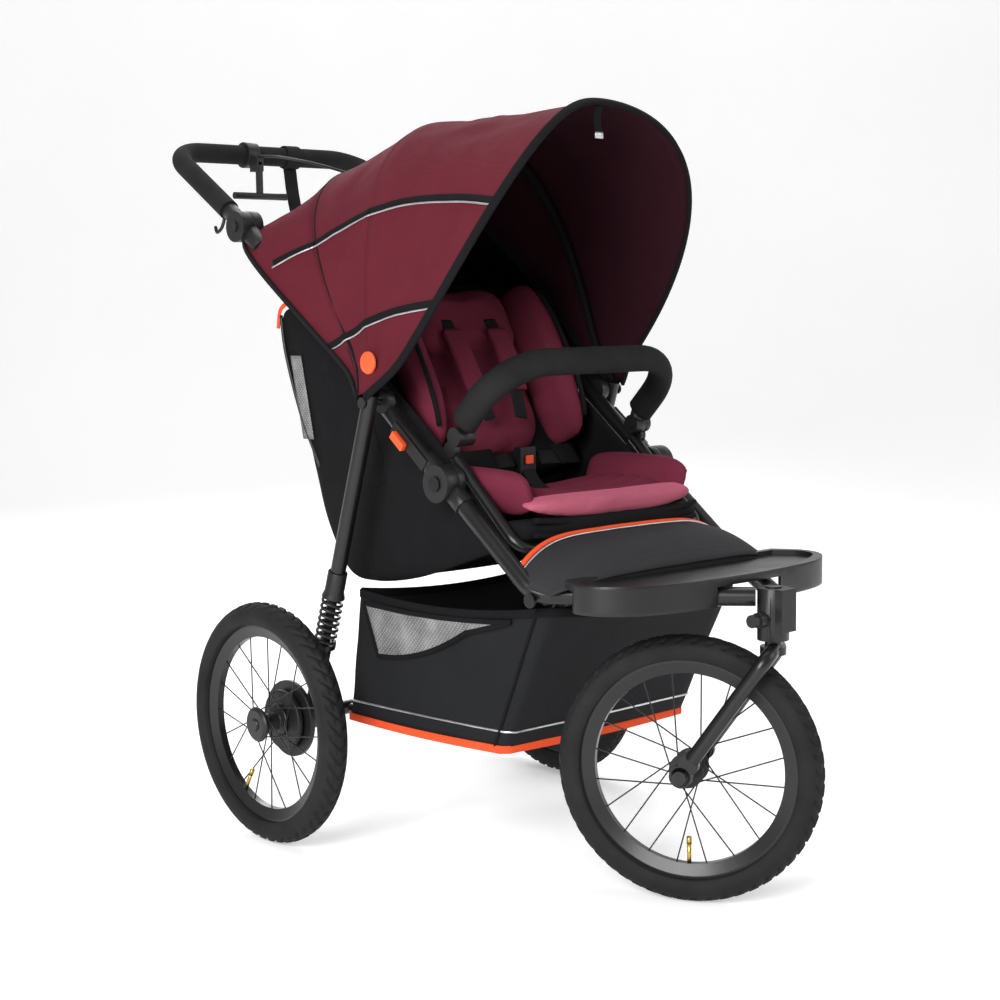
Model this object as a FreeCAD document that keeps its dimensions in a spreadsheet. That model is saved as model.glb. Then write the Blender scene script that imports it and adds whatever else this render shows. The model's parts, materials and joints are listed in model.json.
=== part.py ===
"""Jogging stroller: three air-tyred wheels, a folding tube frame, a padded seat and a folding hood.

Millimetres. +Z is up and the stroller faces -Y. The origin is on the floor, in the middle of the whole
object's box. Left is the -X side. Every driving size sits in the Dimensions sheet.
"""

import FreeCAD, Part
import math
import os

from FreeCAD import Placement, Rotation, Vector

X_AXIS = Vector(1, 0, 0)
Y_AXIS = Vector(0, 1, 0)
Z_AXIS = Vector(0, 0, 1)
SIDES = {"left": -1, "right": 1}

doc = FreeCAD.newDocument("JoggingStroller")
sheet = doc.addObject("Spreadsheet::Sheet", "Dimensions")

DIMENSIONS = {
    # wheels and steering
    "wheel_radius": 200, "tyre_radius": 23, "rim_inner_radius": 143, "rim_half_width": 12,
    "rim_wall": 2.5, "rim_outer_radius": 164, "spoke_radius": 1.1, "spoke_count": 20,
    "hub_radius": 15, "flange_radius": 26, "flange_thickness": 3, "axle_radius": 6,
    "running_gap": 0.05, "track_half": 330, "rear_axle_y": 199.3, "front_trail": 124,
    "swivel_y": -597, "steer_angle": 28.5, "fork_half_width": 50, "fork_blade_radius": 11,
    "crown_height": 385, "head_tube_radius": 23, "head_tube_bottom": 398, "head_tube_top": 474,
    "steerer_radius": 12, "swivel_lock_z": 430, "lock_pin_radius": 5,
    "drum_radius": 50, "backplate_radius": 64,
    # frame
    "tube_radius": 14, "tube_wall": 2, "main_tube_x": 228, "fold_y": -144.7, "fold_z": 612,
    "handle_joint_y": 379.3, "handle_joint_z": 1020, "front_bolt_y": -346.7, "front_bolt_z": 455,
    "joint_disc_radius": 29, "joint_split_x": 227, "joint_outer_x": 254, "joint_pin_radius": 6,
    "sleeve_wall": 2.5, "shared_pin_radius": 5,
    "seat_frame_x": 200, "seat_frame_radius": 9, "rail_radius": 8,
    # rear legs and suspension
    "leg_x": 268, "leg_radius": 12.5, "leg_top_y": -9, "leg_top_z": 732, "leg_slope": 71.6,
    "slider_radius": 8, "spring_radius": 16, "spring_wire": 2.4, "spring_turns": 7,
    "cup_top": 290, "spring_top": 336, "spring_bottom": 417, "travel": 25,
    # handlebar
    "handle_y": 640.3, "handle_z": 1167, "handle_radius": 11, "grip_radius": 18, "handle_bend": 70,
    "handle_corner_x": 210,
    "hinge_disc_radius": 26.5, "lever_pin_radius": 2,
    # hood
    "rear_hoop_angle": 50.3, "middle_hoop_angle": 77.8,
    "rim_angle": 118.3, "rear_hoop_reach": 499, "middle_hoop_reach": 460, "rim_reach": 517,
    "hoop_half_width": 248, "hoop_thickness": 2.5, "hoop_depth": 12, "hood_skin": 2,
    "hood_skin_start": 62,
    "rear_hoop_square": 2.4, "middle_hoop_square": 2.3, "rim_square": 3.0,
    # bumper bar
    "bumper_x": 194, "bumper_pivot_y": -143, "bumper_pivot_z": 681, "bumper_front_y": -240,
    "bumper_top_z": 794, "bumper_radius": 17.5, "bumper_bend": 92,
    # soft goods and tray
    "seat_half_width": 186, "pouch_half_width": 200, "apron_half_width": 205,
    "basket_front_half": 188, "basket_rear_half": 218, "basket_front_top_half": 206,
    "basket_bottom": 207, "basket_top": 436, "basket_rear_top": 420, "basket_skin": 3,
    "basket_front_y": -231, "basket_rear_y": 122, "basket_front_top_y": -330, "basket_rear_top_y": 90,
    "tray_half_width": 250, "tray_thickness": 42, "tray_z": 448,
    "tray_back_y": -404, "tray_end_y": -468, "tray_front_y": -556,
}

for row, (alias, number) in enumerate(DIMENSIONS.items(), start=1):
    sheet.set("A%d" % row, alias)
    sheet.set("B%d" % row, str(number))
    sheet.setAlias("B%d" % row, alias)
doc.recompute()


def size(alias):
    """The value of one cell of the sheet, in millimetres or degrees."""
    return float(sheet.get(alias))


def bind(item, **expressions):
    """Binds properties of a document object to sheet cells. A bare word in an expression is an alias."""
    for name, text in expressions.items():
        words = "".join(c if c.isalnum() or c == "_" else " " for c in text).split()
        for word in sorted(set(words), key=len, reverse=True):
            if word in DIMENSIONS:
                text = replace_word(text, word, "Dimensions." + word)
        item.setExpression(name, text)
    return item


def replace_word(text, word, new):
    """Replaces whole words only, and leaves words that already carry the sheet's name."""
    out = ""
    position = 0
    while position < len(text):
        if text.startswith(word, position):
            before = text[position - 1] if position else " "
            after = text[position + len(word)] if position + len(word) < len(text) else " "
            free = not (before.isalnum() or before in "_.") and not (after.isalnum() or after == "_")
            if free:
                out += new
                position += len(word)
                continue
        out += text[position]
        position += 1
    return out


def aim(direction):
    """Rotation that turns +Z to a direction."""
    return Rotation(Z_AXIS, Vector(direction))


def cylinder(radius, length, base, direction=Z_AXIS):
    """A bound cylinder that starts at base and runs along direction."""
    item = doc.addObject("Part::Cylinder", "Cylinder")
    bind(item, Radius=radius, Height=length)
    item.Placement = Placement(Vector(base), aim(direction))
    return item


def cone(radius1, radius2, length, base, direction=Z_AXIS):
    """A bound cone that starts at base and runs along direction."""
    item = doc.addObject("Part::Cone", "Cone")
    bind(item, Radius1=radius1, Radius2=radius2, Height=length)
    item.Placement = Placement(Vector(base), aim(direction))
    return item


def block(length, width, height, centre, rotation=Rotation()):
    """A bound box with its middle at centre."""
    item = doc.addObject("Part::Box", "Box")
    bind(item, Length=length, Width=width, Height=height)
    doc.recompute()
    half = Vector(item.Length / 2, item.Width / 2, item.Height / 2)
    item.Placement = Placement(Vector(centre) - rotation.multVec(half), rotation)
    return item


def fuse(items):
    item = doc.addObject("Part::MultiFuse", "Fusion")
    item.Shapes = items
    return item


def cut(base, tool):
    item = doc.addObject("Part::Cut", "Cut")
    item.Base = base
    item.Tool = tool
    return item


NODES = []


def node(label, *items):
    """Names one sub-part. Several items become a group of separate solids under one label."""
    if len(items) == 1:
        item = items[0]
    else:
        item = doc.addObject("Part::Compound", "Group")
        item.Links = list(items)
    item.Label = label
    NODES.append(item)
    return item


def feature(shape, placement=None):
    """A plain feature for a shape that needs Part's own sweeps or lofts."""
    item = doc.addObject("Part::Feature", "Shape")
    item.Shape = shape
    if placement:
        item.Placement = placement
    return item


def sketch_in(body, plane, corners):
    """A closed outline in one of the body's origin planes. Each corner is a pair of expressions."""
    sketch = body.newObject("Sketcher::SketchObject", "Outline")
    origin = [o for o in body.Origin.OriginFeatures if o.Role == plane][0]
    sketch.AttachmentSupport = [(origin, "")]
    sketch.MapMode = "FlatFace"
    count = len(corners)
    rough = [Vector(evaluate(a), evaluate(b), 0) for a, b in corners]
    for i in range(count):
        sketch.addGeometry(Part.LineSegment(rough[i], rough[(i + 1) % count]), False)
    from Sketcher import Constraint
    for i in range(count):
        sketch.addConstraint(Constraint("Coincident", i, 2, (i + 1) % count, 1))
    for i, (across, along) in enumerate(corners):
        for kind, text in (("DistanceX", across), ("DistanceY", along)):
            value = evaluate(text)
            number = sketch.addConstraint(Constraint(kind, -1, 1, i, 1, value))
            bind(sketch, **{"Constraints[%d]" % number: text})
    return sketch


def evaluate(text):
    """The number that an expression of sheet aliases stands for."""
    probe = doc.getObject("Probe") or doc.addObject("App::FeaturePython", "Probe")
    if not hasattr(probe, "Value"):
        probe.addProperty("App::PropertyFloat", "Value")
    bind(probe, Value=text)
    doc.recompute([probe])
    return probe.Value


def revolved(corners, placement=None):
    """A Body made by turning an outline of (radius, height) corners about its own Z axis."""
    body = doc.addObject("PartDesign::Body", "Turned")
    sketch = sketch_in(body, "XZ_Plane", corners)
    turn = body.newObject("PartDesign::Revolution", "Revolution")
    turn.Profile = sketch
    turn.ReferenceAxis = (sketch, ["V_Axis"])
    turn.Angle = 360
    if placement:
        body.Placement = placement
    return body


def rounded_path(points, bend):
    """A wire of straight runs joined by arcs of one bend radius."""
    edges = []
    start = points[0]
    for i in range(1, len(points) - 1):
        corner = points[i]
        back = (points[i - 1] - corner).normalize()
        ahead = (points[i + 1] - corner).normalize()
        half = back.getAngle(ahead) / 2
        run = bend / math.tan(half)
        first = corner + back * run
        last = corner + ahead * run
        bisector = (back + ahead).normalize()
        middle = corner + bisector * (bend / math.sin(half) - bend)
        edges.append(Part.makeLine(start, first))
        edges.append(Part.Arc(first, middle, last).toShape())
        start = last
    edges.append(Part.makeLine(start, points[-1]))
    return Part.Wire(edges)


def swept(path, radius):
    """A round bar along a path."""
    start = path.Edges[0].valueAt(path.Edges[0].FirstParameter)
    tangent = path.Edges[0].tangentAt(path.Edges[0].FirstParameter)
    ring = Part.Wire(Part.makeCircle(radius, start, tangent))
    return path.makePipeShell([ring], True, True)


def tube(points, bend, radius, wall=0):
    """A bent round tube through points. With no wall it is a solid bar."""
    path = rounded_path([Vector(p) for p in points], bend)
    shape = swept(path, radius)
    if wall:
        shape = shape.cut(swept(path, radius - wall))
    return shape


def line_point(start, end, distance):
    """The point a distance from start towards end."""
    return Vector(start) + (Vector(end) - Vector(start)).normalize() * distance


# ---------------------------------------------------------------- driving points
fold = Vector(0, size("fold_y"), size("fold_z"))
handle_joint = Vector(0, size("handle_joint_y"), size("handle_joint_z"))
front_bolt = Vector(0, size("front_bolt_y"), size("front_bolt_z"))
leg_top = Vector(0, size("leg_top_y"), size("leg_top_z"))
slope = math.radians(size("leg_slope"))
leg_down = Vector(0, math.cos(slope), -math.sin(slope))
swivel = Vector(0, size("swivel_y"), 0)
steer = math.radians(size("steer_angle"))
trail_way = Vector(-math.sin(steer), math.cos(steer), 0)
axle_way = Vector(math.cos(steer), math.sin(steer), 0)
rear_axle = Vector(0, size("rear_axle_y"), size("wheel_radius"))
front_axle = swivel + trail_way * size("front_trail") + Z_AXIS * size("wheel_radius")
disc_gap = 3


def at_side(point, side, across):
    """A point of the side view moved out to one side."""
    return Vector(side * across, point.y, point.z)


# ---------------------------------------------------------------- wheels
def wheel(label, centre, outward, with_drum):
    """Tyre, rim, spokes and hub of one wheel. Outward is the way its hub cap looks."""
    place = Placement(centre, aim(outward))
    torus = doc.addObject("Part::Torus", "TyreRing")
    bind(torus, Radius1="wheel_radius - tyre_radius", Radius2="tyre_radius")
    seat = cylinder("rim_outer_radius", "4 * tyre_radius", (0, 0, -2 * size("tyre_radius")))
    tyre = cut(torus, seat)
    tyre.Placement = place
    node(label + "_tyre", tyre)
    rim = revolved([
        ("rim_inner_radius", "-rim_half_width / 2"),
        ("rim_inner_radius", "rim_half_width / 2"),
        ("rim_outer_radius - 4", "rim_half_width"),
        ("rim_outer_radius - 0.02", "rim_half_width"),
        ("rim_outer_radius - 0.02", "rim_half_width - rim_wall"),
        ("rim_inner_radius + rim_wall * 2", "rim_half_width / 2 - rim_wall"),
        ("rim_inner_radius + rim_wall * 2", "-rim_half_width / 2 + rim_wall"),
        ("rim_outer_radius - 0.02", "-rim_half_width + rim_wall"),
        ("rim_outer_radius - 0.02", "-rim_half_width"),
        ("rim_outer_radius - 4", "-rim_half_width"),
    ], place)
    node(label + "_rim", rim)
    node(label + "_spokes", feature(Part.makeCompound(spokes()), place))
    node(label + "_hub", hub(place, with_drum))


def spokes():
    """Crossed spokes, each from a hub flange to the rim, alternately from either flange."""
    count = int(size("spoke_count"))
    cross = math.radians(58)
    made = []
    for i in range(count):
        side = 1 if i % 2 else -1
        lean = cross if i % 4 < 2 else -cross
        rim_turn = 2 * math.pi * i / count
        flange = size("flange_radius") - 3
        height = side * (15 if i % 4 < 2 else 18)
        root = Vector(flange * math.cos(rim_turn + lean), flange * math.sin(rim_turn + lean), height)
        reach = size("rim_inner_radius") + 2
        tip = Vector(reach * math.cos(rim_turn), reach * math.sin(rim_turn), side * 1.5)
        made.append(Part.makeCylinder(size("spoke_radius"), (tip - root).Length, root, tip - root))
    return made


def hub(place, with_drum):
    """Hub shell with two spoke flanges, a bore for the axle and an outer cap with a button pocket."""
    bore = "axle_radius + running_gap"
    if not with_drum:
        return revolved([
            (bore, "-34"), ("hub_radius", "-34"), ("hub_radius", "-20"), ("flange_radius", "-20"),
            ("flange_radius", "-20 + flange_thickness"), ("hub_radius - 2", "-13"),
            ("hub_radius - 2", "13"), ("flange_radius", "20 - flange_thickness"),
            ("flange_radius", "20"), ("hub_radius", "20"), ("hub_radius", "34"), (bore, "34"),
        ], place)
    return revolved([
        (bore, "-37"), ("drum_radius - 4", "-37"), ("drum_radius", "-33"), ("drum_radius", "-25"),
        ("hub_radius + 6", "-21"), ("flange_radius", "-20"), ("flange_radius", "-17"),
        ("hub_radius", "-13"), ("hub_radius", "13"), ("flange_radius", "17"), ("flange_radius", "20"),
        ("flange_radius + 3", "21"), ("flange_radius + 3", "24"), ("flange_radius - 2", "28"),
        ("10.05", "28"), ("10.05", "20"), (bore, "20"),
    ], place)


for side_name, side in SIDES.items():
    centre = at_side(rear_axle, side, size("track_half"))
    wheel("rear_wheel_" + side_name, centre, X_AXIS * side, True)
    button = revolved([("0", "24"), ("10", "24"), ("10", "29"), ("8", "31"), ("0", "31")],
                      Placement(centre, aim(X_AXIS * side)))
    node("wheel_release_button_" + side_name, button)
wheel("front_wheel", front_axle, axle_way, False)


# ---------------------------------------------------------------- fork and head tube
def fork_point(trail, across, height):
    """A point given by its trail behind the swivel axis, its sideways offset and its height."""
    return swivel + trail_way * trail + axle_way * across + Z_AXIS * height


def fork():
    """Steerer, arched crown and two blades with dropouts that hold the axle."""
    radius = size("fork_blade_radius")
    half = size("fork_half_width")
    top = size("crown_height")
    hub_height = size("wheel_radius")
    trail = size("front_trail")
    steerer_base = size("crown_height") - 6
    steerer = Part.makeCylinder(size("steerer_radius"), size("head_tube_top") - steerer_base + 2,
                                fork_point(0, 0, steerer_base))
    shape = steerer
    for side in SIDES.values():
        path = [fork_point(-2, 0, top), fork_point(-2, side * half, top - 4),
                fork_point(trail - 16, side * half, hub_height + 24)]
        shape = shape.fuse(tube(path, 24, radius))
        foot = fork_point(trail, side * half, hub_height) - axle_way * 5
        shape = shape.fuse(Part.makeCylinder(17, 10, foot, axle_way))
        shape = shape.fuse(Part.makeCylinder(15, 10, foot + Z_AXIS * 18 - trail_way * 12, axle_way))
    collar = Part.makeCylinder(19, 12, fork_point(0, 0, top - 8))
    return shape.fuse(collar).removeSplitter()


blade_bore = cylinder("axle_radius", "3 * fork_half_width",
                      front_axle - axle_way * 1.5 * size("fork_half_width"), axle_way)
node("fork", cut(feature(fork()), blade_bore))
nut_start = size("fork_half_width") + 5.2
front_axle_parts = [cylinder("axle_radius", "2 * fork_half_width + 26",
                             front_axle - axle_way * (size("fork_half_width") + 13), axle_way)]
for side in SIDES.values():
    base = front_axle + axle_way * side * nut_start
    front_axle_parts.append(cone("14", "10", "9", base, axle_way * side))
node("front_axle", fuse(front_axle_parts))

head_outer = cylinder("head_tube_radius", "head_tube_top - head_tube_bottom",
                      swivel + Z_AXIS * size("head_tube_bottom"))
lock_place = swivel + Z_AXIS * size("swivel_lock_z")
boss = cylinder("11", "16", lock_place - X_AXIS * 20, -X_AXIS)
nose = block("32", "30", "head_tube_top - head_tube_bottom - 14",
             swivel + Vector(0, -14, (size("head_tube_top") + size("head_tube_bottom")) / 2 + 7))
head_bore = cylinder("steerer_radius + running_gap", "head_tube_top - head_tube_bottom + 20",
                     swivel + Z_AXIS * (size("head_tube_bottom") - 10))
pin_bore = cylinder("lock_pin_radius + running_gap", "40", lock_place, -X_AXIS)
node("head_tube", cut(fuse([head_outer, boss, nose]), fuse([head_bore, pin_bore])))
node("swivel_lock_knob", fuse([
    cylinder("lock_pin_radius", "22", lock_place - X_AXIS * 15, -X_AXIS),
    cylinder("9.5", "12", lock_place - X_AXIS * 36.5, -X_AXIS),
]))


# ---------------------------------------------------------------- lower frame
def lower_tube(side):
    """From the fold joint down to the front bolt, then in under the footrest to the head tube."""
    across = side * size("main_tube_x")
    start = at_side(line_point(fold, front_bolt, size("joint_disc_radius") + 2), side, size("main_tube_x"))
    run_z = size("tray_z") + size("tube_radius") - 1
    knee = Vector(across, front_bolt.y + (run_z - front_bolt.z) / 0.777, run_z)
    inner = Vector(side * 20, size("swivel_y") + 16, run_z)
    return tube([start, knee, inner], 45, size("tube_radius"), size("tube_wall"))


def disc(side, point, inner_x, outer_x, radius):
    """A disc across X between two distances from the middle, on one side."""
    base = at_side(point, side, inner_x)
    return Part.makeCylinder(radius, outer_x - inner_x, base, X_AXIS * side)


def joint_pin(side, point, inner_x, outer_x, radius, head_radius):
    """A pivot bolt with a round head at its outer end."""
    pin = disc(side, point, inner_x, outer_x, radius)
    return pin.fuse(disc(side, point, outer_x, outer_x + 3, head_radius))


radius = size("joint_disc_radius")
sleeve_radius = size("tube_radius") + size("sleeve_wall")
split = size("joint_split_x")
outer = size("joint_outer_x")
pin_radius = size("joint_pin_radius")
shared_pin_radius = size("shared_pin_radius")
gap = size("running_gap")
cross = cylinder("10", "2 * main_tube_x - 2 * tube_radius + 2",
                 (-size("main_tube_x") + size("tube_radius") - 1, front_bolt.y, front_bolt.z), X_AXIS)
node("lower_frame", fuse([feature(lower_tube(side)) for side in SIDES.values()] + [cross]))
inner_discs = []
for side in SIDES.values():
    plate = disc(side, fold, split - 14, split - 0.5, radius)
    arm_end = line_point(fold, front_bolt, radius + 26)
    sleeve = tube([at_side(line_point(fold, front_bolt, radius - 6), side, split + 1),
                   at_side(arm_end, side, size("main_tube_x"))], 0, sleeve_radius)
    plate = plate.fuse(sleeve.cut(disc(side, fold, split - 0.5, outer + 5, radius + 1)))
    plate = plate.cut(disc(side, fold, split - 20, outer, pin_radius))
    hollow = tube([at_side(line_point(fold, front_bolt, radius + 2), side, size("main_tube_x")),
                   at_side(line_point(fold, front_bolt, radius + 60), side, size("main_tube_x"))],
                  0, size("tube_radius"))
    inner_discs.append(feature(plate.cut(hollow)))
node("fold_housings", *inner_discs)
bolts = []
for side in SIDES.values():
    bolts.append(feature(joint_pin(side, fold, split - 14, outer - 2.8, pin_radius, 12)))
    bolts.append(feature(joint_pin(side, front_bolt, 236, 243.5, pin_radius, 11)))
node("frame_bolts", *bolts)

seat_x = size("seat_frame_x")
seat_frame = tube([
    (-seat_x, -128, 656), (-seat_x, -280, 516), (seat_x, -280, 516), (seat_x, -128, 656),
], 30, size("seat_frame_radius"), size("tube_wall"))
node("seat_frame", feature(seat_frame))

bumper_pivot = Vector(0, size("bumper_pivot_y"), size("bumper_pivot_z"))
bracket_foot = Vector(0, -133, 661)
brackets = []
for side in SIDES.values():
    bracket = disc(side, bumper_pivot, 200.5, 211.5, 15)
    bracket = bracket.fuse(disc(side, bracket_foot, 192, 211.5, 13))
    bracket = bracket.cut(disc(side, bracket_foot, 180, 200, 14))
    bumper_pin = disc(side, bumper_pivot, 186, 201, size("shared_pin_radius"))
    brackets.append(feature(bracket.fuse(bumper_pin)))
node("bumper_brackets", *brackets)


# ---------------------------------------------------------------- upper frame
tube_way = (handle_joint - fold).normalize()
tube_turn = Rotation(X_AXIS, math.degrees(math.atan2(tube_way.z, tube_way.y)))
hinge_radius = size("hinge_disc_radius")
uppers = []
knuckles = []
sockets = []
for side in SIDES.values():
    across = size("main_tube_x")
    low = at_side(line_point(fold, handle_joint, radius + 2), side, across)
    high = at_side(line_point(handle_joint, fold, hinge_radius + 2), side, across)
    uppers.append(feature(tube([low, high], 0, size("tube_radius"), size("tube_wall"))))
    plate = disc(side, fold, split + 0.5, outer - 3, radius)
    sleeve = tube([at_side(line_point(fold, handle_joint, radius - 8), side, across),
                   at_side(line_point(fold, handle_joint, radius + 26), side, across)],
                  0, sleeve_radius)
    sleeve = sleeve.cut(disc(side, fold, split - 30, split + 0.5, radius + 1))
    plate = plate.fuse(sleeve).cut(disc(side, fold, split - 30, outer + 5, pin_radius + gap))
    hollow = tube([at_side(line_point(fold, handle_joint, radius + 2), side, across),
                   at_side(line_point(fold, handle_joint, radius + 60), side, across)],
                  0, size("tube_radius"))
    guide = Part.makeBox(4, 96, 20, Vector(-2, -48, -10))
    guide.Placement = Placement(at_side(fold + tube_way * 88, side, 243.5), tube_turn)
    guide = guide.cut(tube([at_side(fold, side, across), at_side(handle_joint, side, across)],
                           0, size("tube_radius")))
    knuckles.append(feature(plate.cut(hollow).fuse(guide)))
    socket = disc(side, handle_joint, 208, split - 0.5, hinge_radius)
    stub = tube([at_side(line_point(handle_joint, fold, 20), side, across),
                 at_side(line_point(handle_joint, fold, 62), side, across)], 0, sleeve_radius)
    stub = stub.cut(disc(side, handle_joint, split - 0.5, outer + 9, hinge_radius + 1))
    socket = socket.fuse(stub).cut(tube([
        at_side(line_point(handle_joint, fold, hinge_radius + 2), side, across),
        at_side(line_point(handle_joint, fold, 90), side, across)], 0, size("tube_radius")))
    socket = socket.fuse(disc(side, handle_joint, 210, 244, 5))
    sockets.append(feature(socket))
node("upper_frame_tubes", *uppers)
node("fold_knuckles", *knuckles)
node("handle_hinge_sockets", *sockets)

leg_mounts = []
for side in SIDES.values():
    saddle = disc(side, leg_top, split + 3, 245.2, 18)
    across = size("main_tube_x")
    tube_space = tube([at_side(fold, side, across), at_side(handle_joint, side, across)],
                      0, size("tube_radius") + 0.02)
    saddle = saddle.cut(tube_space)
    saddle = saddle.fuse(disc(side, leg_top, 243, 281.5, shared_pin_radius))
    leg_mounts.append(feature(saddle.fuse(disc(side, leg_top, 281.5, 285, 9))))
node("leg_and_hood_mounts", *leg_mounts)

for side_name, side in SIDES.items():
    centre = at_side(fold + tube_way * 108 - Vector(0, -4, 5), side, 249.8)
    node("fold_latch_" + side_name, block("8", "34", "13", centre, tube_turn))


# ---------------------------------------------------------------- rear legs, suspension and axle
def along_leg(distance, side):
    """A point down the leg, measured from its top pivot."""
    return at_side(leg_top + leg_down * distance, side, size("leg_x"))


def leg_tube(side):
    """Upper leg with a cross bore for its pivot and a bore for the slider."""
    start = along_leg(-14, side)
    shape = Part.makeCylinder(size("leg_radius"), size("spring_top") - 5 + 14, start, leg_down)
    shape = shape.cut(Part.makeCylinder(size("slider_radius") + gap, 400, along_leg(40, side), leg_down))
    return shape.cut(disc(side, leg_top, 250, 290, shared_pin_radius + gap))


def spring_cup(side):
    """Flared plastic collar at the bottom of the leg, which the spring bears on."""
    top = size("cup_top")
    bottom = size("spring_top")
    shape = Part.makeCylinder(16, bottom - top - 12, along_leg(top, side), leg_down)
    shape = shape.fuse(Part.makeCone(16, 19.5, 12, along_leg(bottom - 12, side), leg_down))
    bore = Part.makeCylinder(size("leg_radius"), bottom - 5 - top, along_leg(top, side), leg_down)
    inner_bore = Part.makeCylinder(size("slider_radius") + gap, 80, along_leg(top, side), leg_down)
    return shape.cut(bore).cut(inner_bore)


def slider(side):
    """Lower leg: a rod that runs up inside the leg, a spring seat and the knuckle on the axle."""
    seat_at = size("spring_bottom")
    foot = (rear_axle - leg_top).dot(leg_down)
    rod = Part.makeCylinder(size("slider_radius"), seat_at - 240, along_leg(240, side), leg_down)
    rod = rod.fuse(Part.makeCylinder(19, 8, along_leg(seat_at, side), leg_down))
    rod = rod.fuse(Part.makeCylinder(13, foot - seat_at, along_leg(seat_at, side), leg_down))
    knuckle = disc(side, rear_axle, 255, 280, 27)
    return rod.fuse(knuckle).cut(disc(side, rear_axle, 200, 300, size("axle_radius")))


def spring(side):
    """Coil spring between the cup and the seat."""
    wire = size("spring_wire")
    height = size("spring_bottom") - size("spring_top") - 2 * wire - 0.4
    helix = Part.makeHelix(height / size("spring_turns"), height, size("spring_radius"))
    ring = Part.Wire(Part.makeCircle(wire, Vector(size("spring_radius"), 0, 0), Y_AXIS))
    coil = Part.Wire(helix.Edges).makePipeShell([ring], True, True)
    return feature(coil, Placement(along_leg(size("spring_top") + wire + 0.2, side), aim(leg_down)))


node("leg_tubes", *[feature(leg_tube(side)) for side in SIDES.values()])
node("spring_cups", *[feature(spring_cup(side)) for side in SIDES.values()])
node("leg_sliders", *[feature(slider(side)) for side in SIDES.values()])
node("suspension_springs", *[spring(side) for side in SIDES.values()])
node("brake_backplates", *[feature(
    disc(side, rear_axle, 281.5, 290.5, size("backplate_radius")).cut(
        disc(side, rear_axle, 270, 300, size("axle_radius")))) for side in SIDES.values()])
stub_reach = size("track_half") + 19
beam = cylinder("12", "2 * leg_x - 2 * leg_radius - 3",
                (-size("leg_x") + size("leg_radius") + 1.5, rear_axle.y, rear_axle.z), X_AXIS)
stub = cylinder("axle_radius", "2 * track_half + 38", (-stub_reach, rear_axle.y, rear_axle.z), X_AXIS)
node("rear_axle_beam", fuse([beam, stub]))
pedal_ring = cylinder("17", "40", (-100, rear_axle.y, rear_axle.z), X_AXIS)
pedal_arm = block("30", "60", "8", (-80, rear_axle.y + 42, rear_axle.z + 12))
pedal_bore = cylinder("12 + running_gap", "60", (-110, rear_axle.y, rear_axle.z), X_AXIS)
node("parking_brake_pedal", cut(fuse([pedal_ring, pedal_arm]), pedal_bore))


# ---------------------------------------------------------------- handlebar
handle_corner = Vector(0, size("handle_y"), size("handle_z"))
arm_x = size("main_tube_x")
arm_start = line_point(handle_joint, handle_corner, hinge_radius + 2)
grip_start = line_point(handle_joint, handle_corner, 62)


def arm_point(point, side):
    """A point of the side view moved out onto the handle arm, which leans in towards its corner."""
    share = (point - handle_joint).Length / (handle_corner - handle_joint).Length
    return at_side(point, side, arm_x + (size("handle_corner_x") - arm_x) * share)


def bar(start, bar_radius, wall):
    """The handlebar's bow from one hinge to the other."""
    corner_x = size("handle_corner_x")
    points = [arm_point(start, -1), at_side(handle_corner, -1, corner_x),
              at_side(handle_corner, 1, corner_x), arm_point(start, 1)]
    return tube(points, size("handle_bend"), bar_radius, wall)


node("handlebar_tube", feature(bar(arm_start, size("handle_radius"), size("tube_wall"))))
grip = bar(grip_start, size("grip_radius"), size("grip_radius") - size("handle_radius"))
hinge_hubs = []
for side in SIDES.values():
    hub_shape = disc(side, handle_joint, split + 0.5, 250, hinge_radius)
    neck = tube([arm_point(line_point(handle_joint, handle_corner, 18), side),
                 arm_point(line_point(handle_joint, handle_corner, 58), side)], 0, 15)
    neck = neck.cut(disc(side, handle_joint, split - 30, split + 0.5, hinge_radius + 1))
    hub_shape = hub_shape.fuse(neck).cut(tube([
        arm_point(arm_start, side),
        arm_point(line_point(handle_joint, handle_corner, 80), side)], 0, size("handle_radius")))
    hub_shape = hub_shape.cut(disc(side, handle_joint, split - 5, 245, 5 + gap))
    hub_shape = hub_shape.cut(disc(side, handle_joint, 245, 260, 9 + gap))
    hinge_hubs.append(feature(hub_shape))
node("handlebar_grip", feature(grip))
node("handle_hinge_hubs", *hinge_hubs)
for side_name, side in SIDES.items():
    node("handle_button_" + side_name, feature(disc(side, handle_joint, 248.5, 253.5, 9)))

clamp_x = -40
clamp = cylinder("24", "26", (clamp_x - 13, handle_corner.y, handle_corner.z), X_AXIS)
clamp_bore = cylinder("grip_radius", "40", (clamp_x - 20, handle_corner.y, handle_corner.z), X_AXIS)
lever_mount = block("14", "26", "24", (clamp_x, handle_corner.y - 26, handle_corner.z - 20))
clamp_shape = cut(fuse([clamp, lever_mount]), clamp_bore)
lever_pivot = Vector(clamp_x, handle_corner.y - 32, handle_corner.z - 26)
fork_slot = block("8.2", "30", "30", (clamp_x, lever_pivot.y - 3, lever_pivot.z - 4))
lever_pin = cylinder("lever_pin_radius", "14", lever_pivot - X_AXIS * 7, X_AXIS)
node("brake_lever_clamp", fuse([cut(clamp_shape, fork_slot), lever_pin]))
lever_arm = block("8", "12", "52", (clamp_x, lever_pivot.y - 2, lever_pivot.z - 20))
lever_bar = cylinder("6.5", "116", (clamp_x - 58, lever_pivot.y - 4, lever_pivot.z - 52), X_AXIS)
lever_bore = cylinder("lever_pin_radius + running_gap", "20", lever_pivot - X_AXIS * 10, X_AXIS)
node("brake_lever", cut(fuse([lever_arm, lever_bar]), lever_bore))


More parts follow.
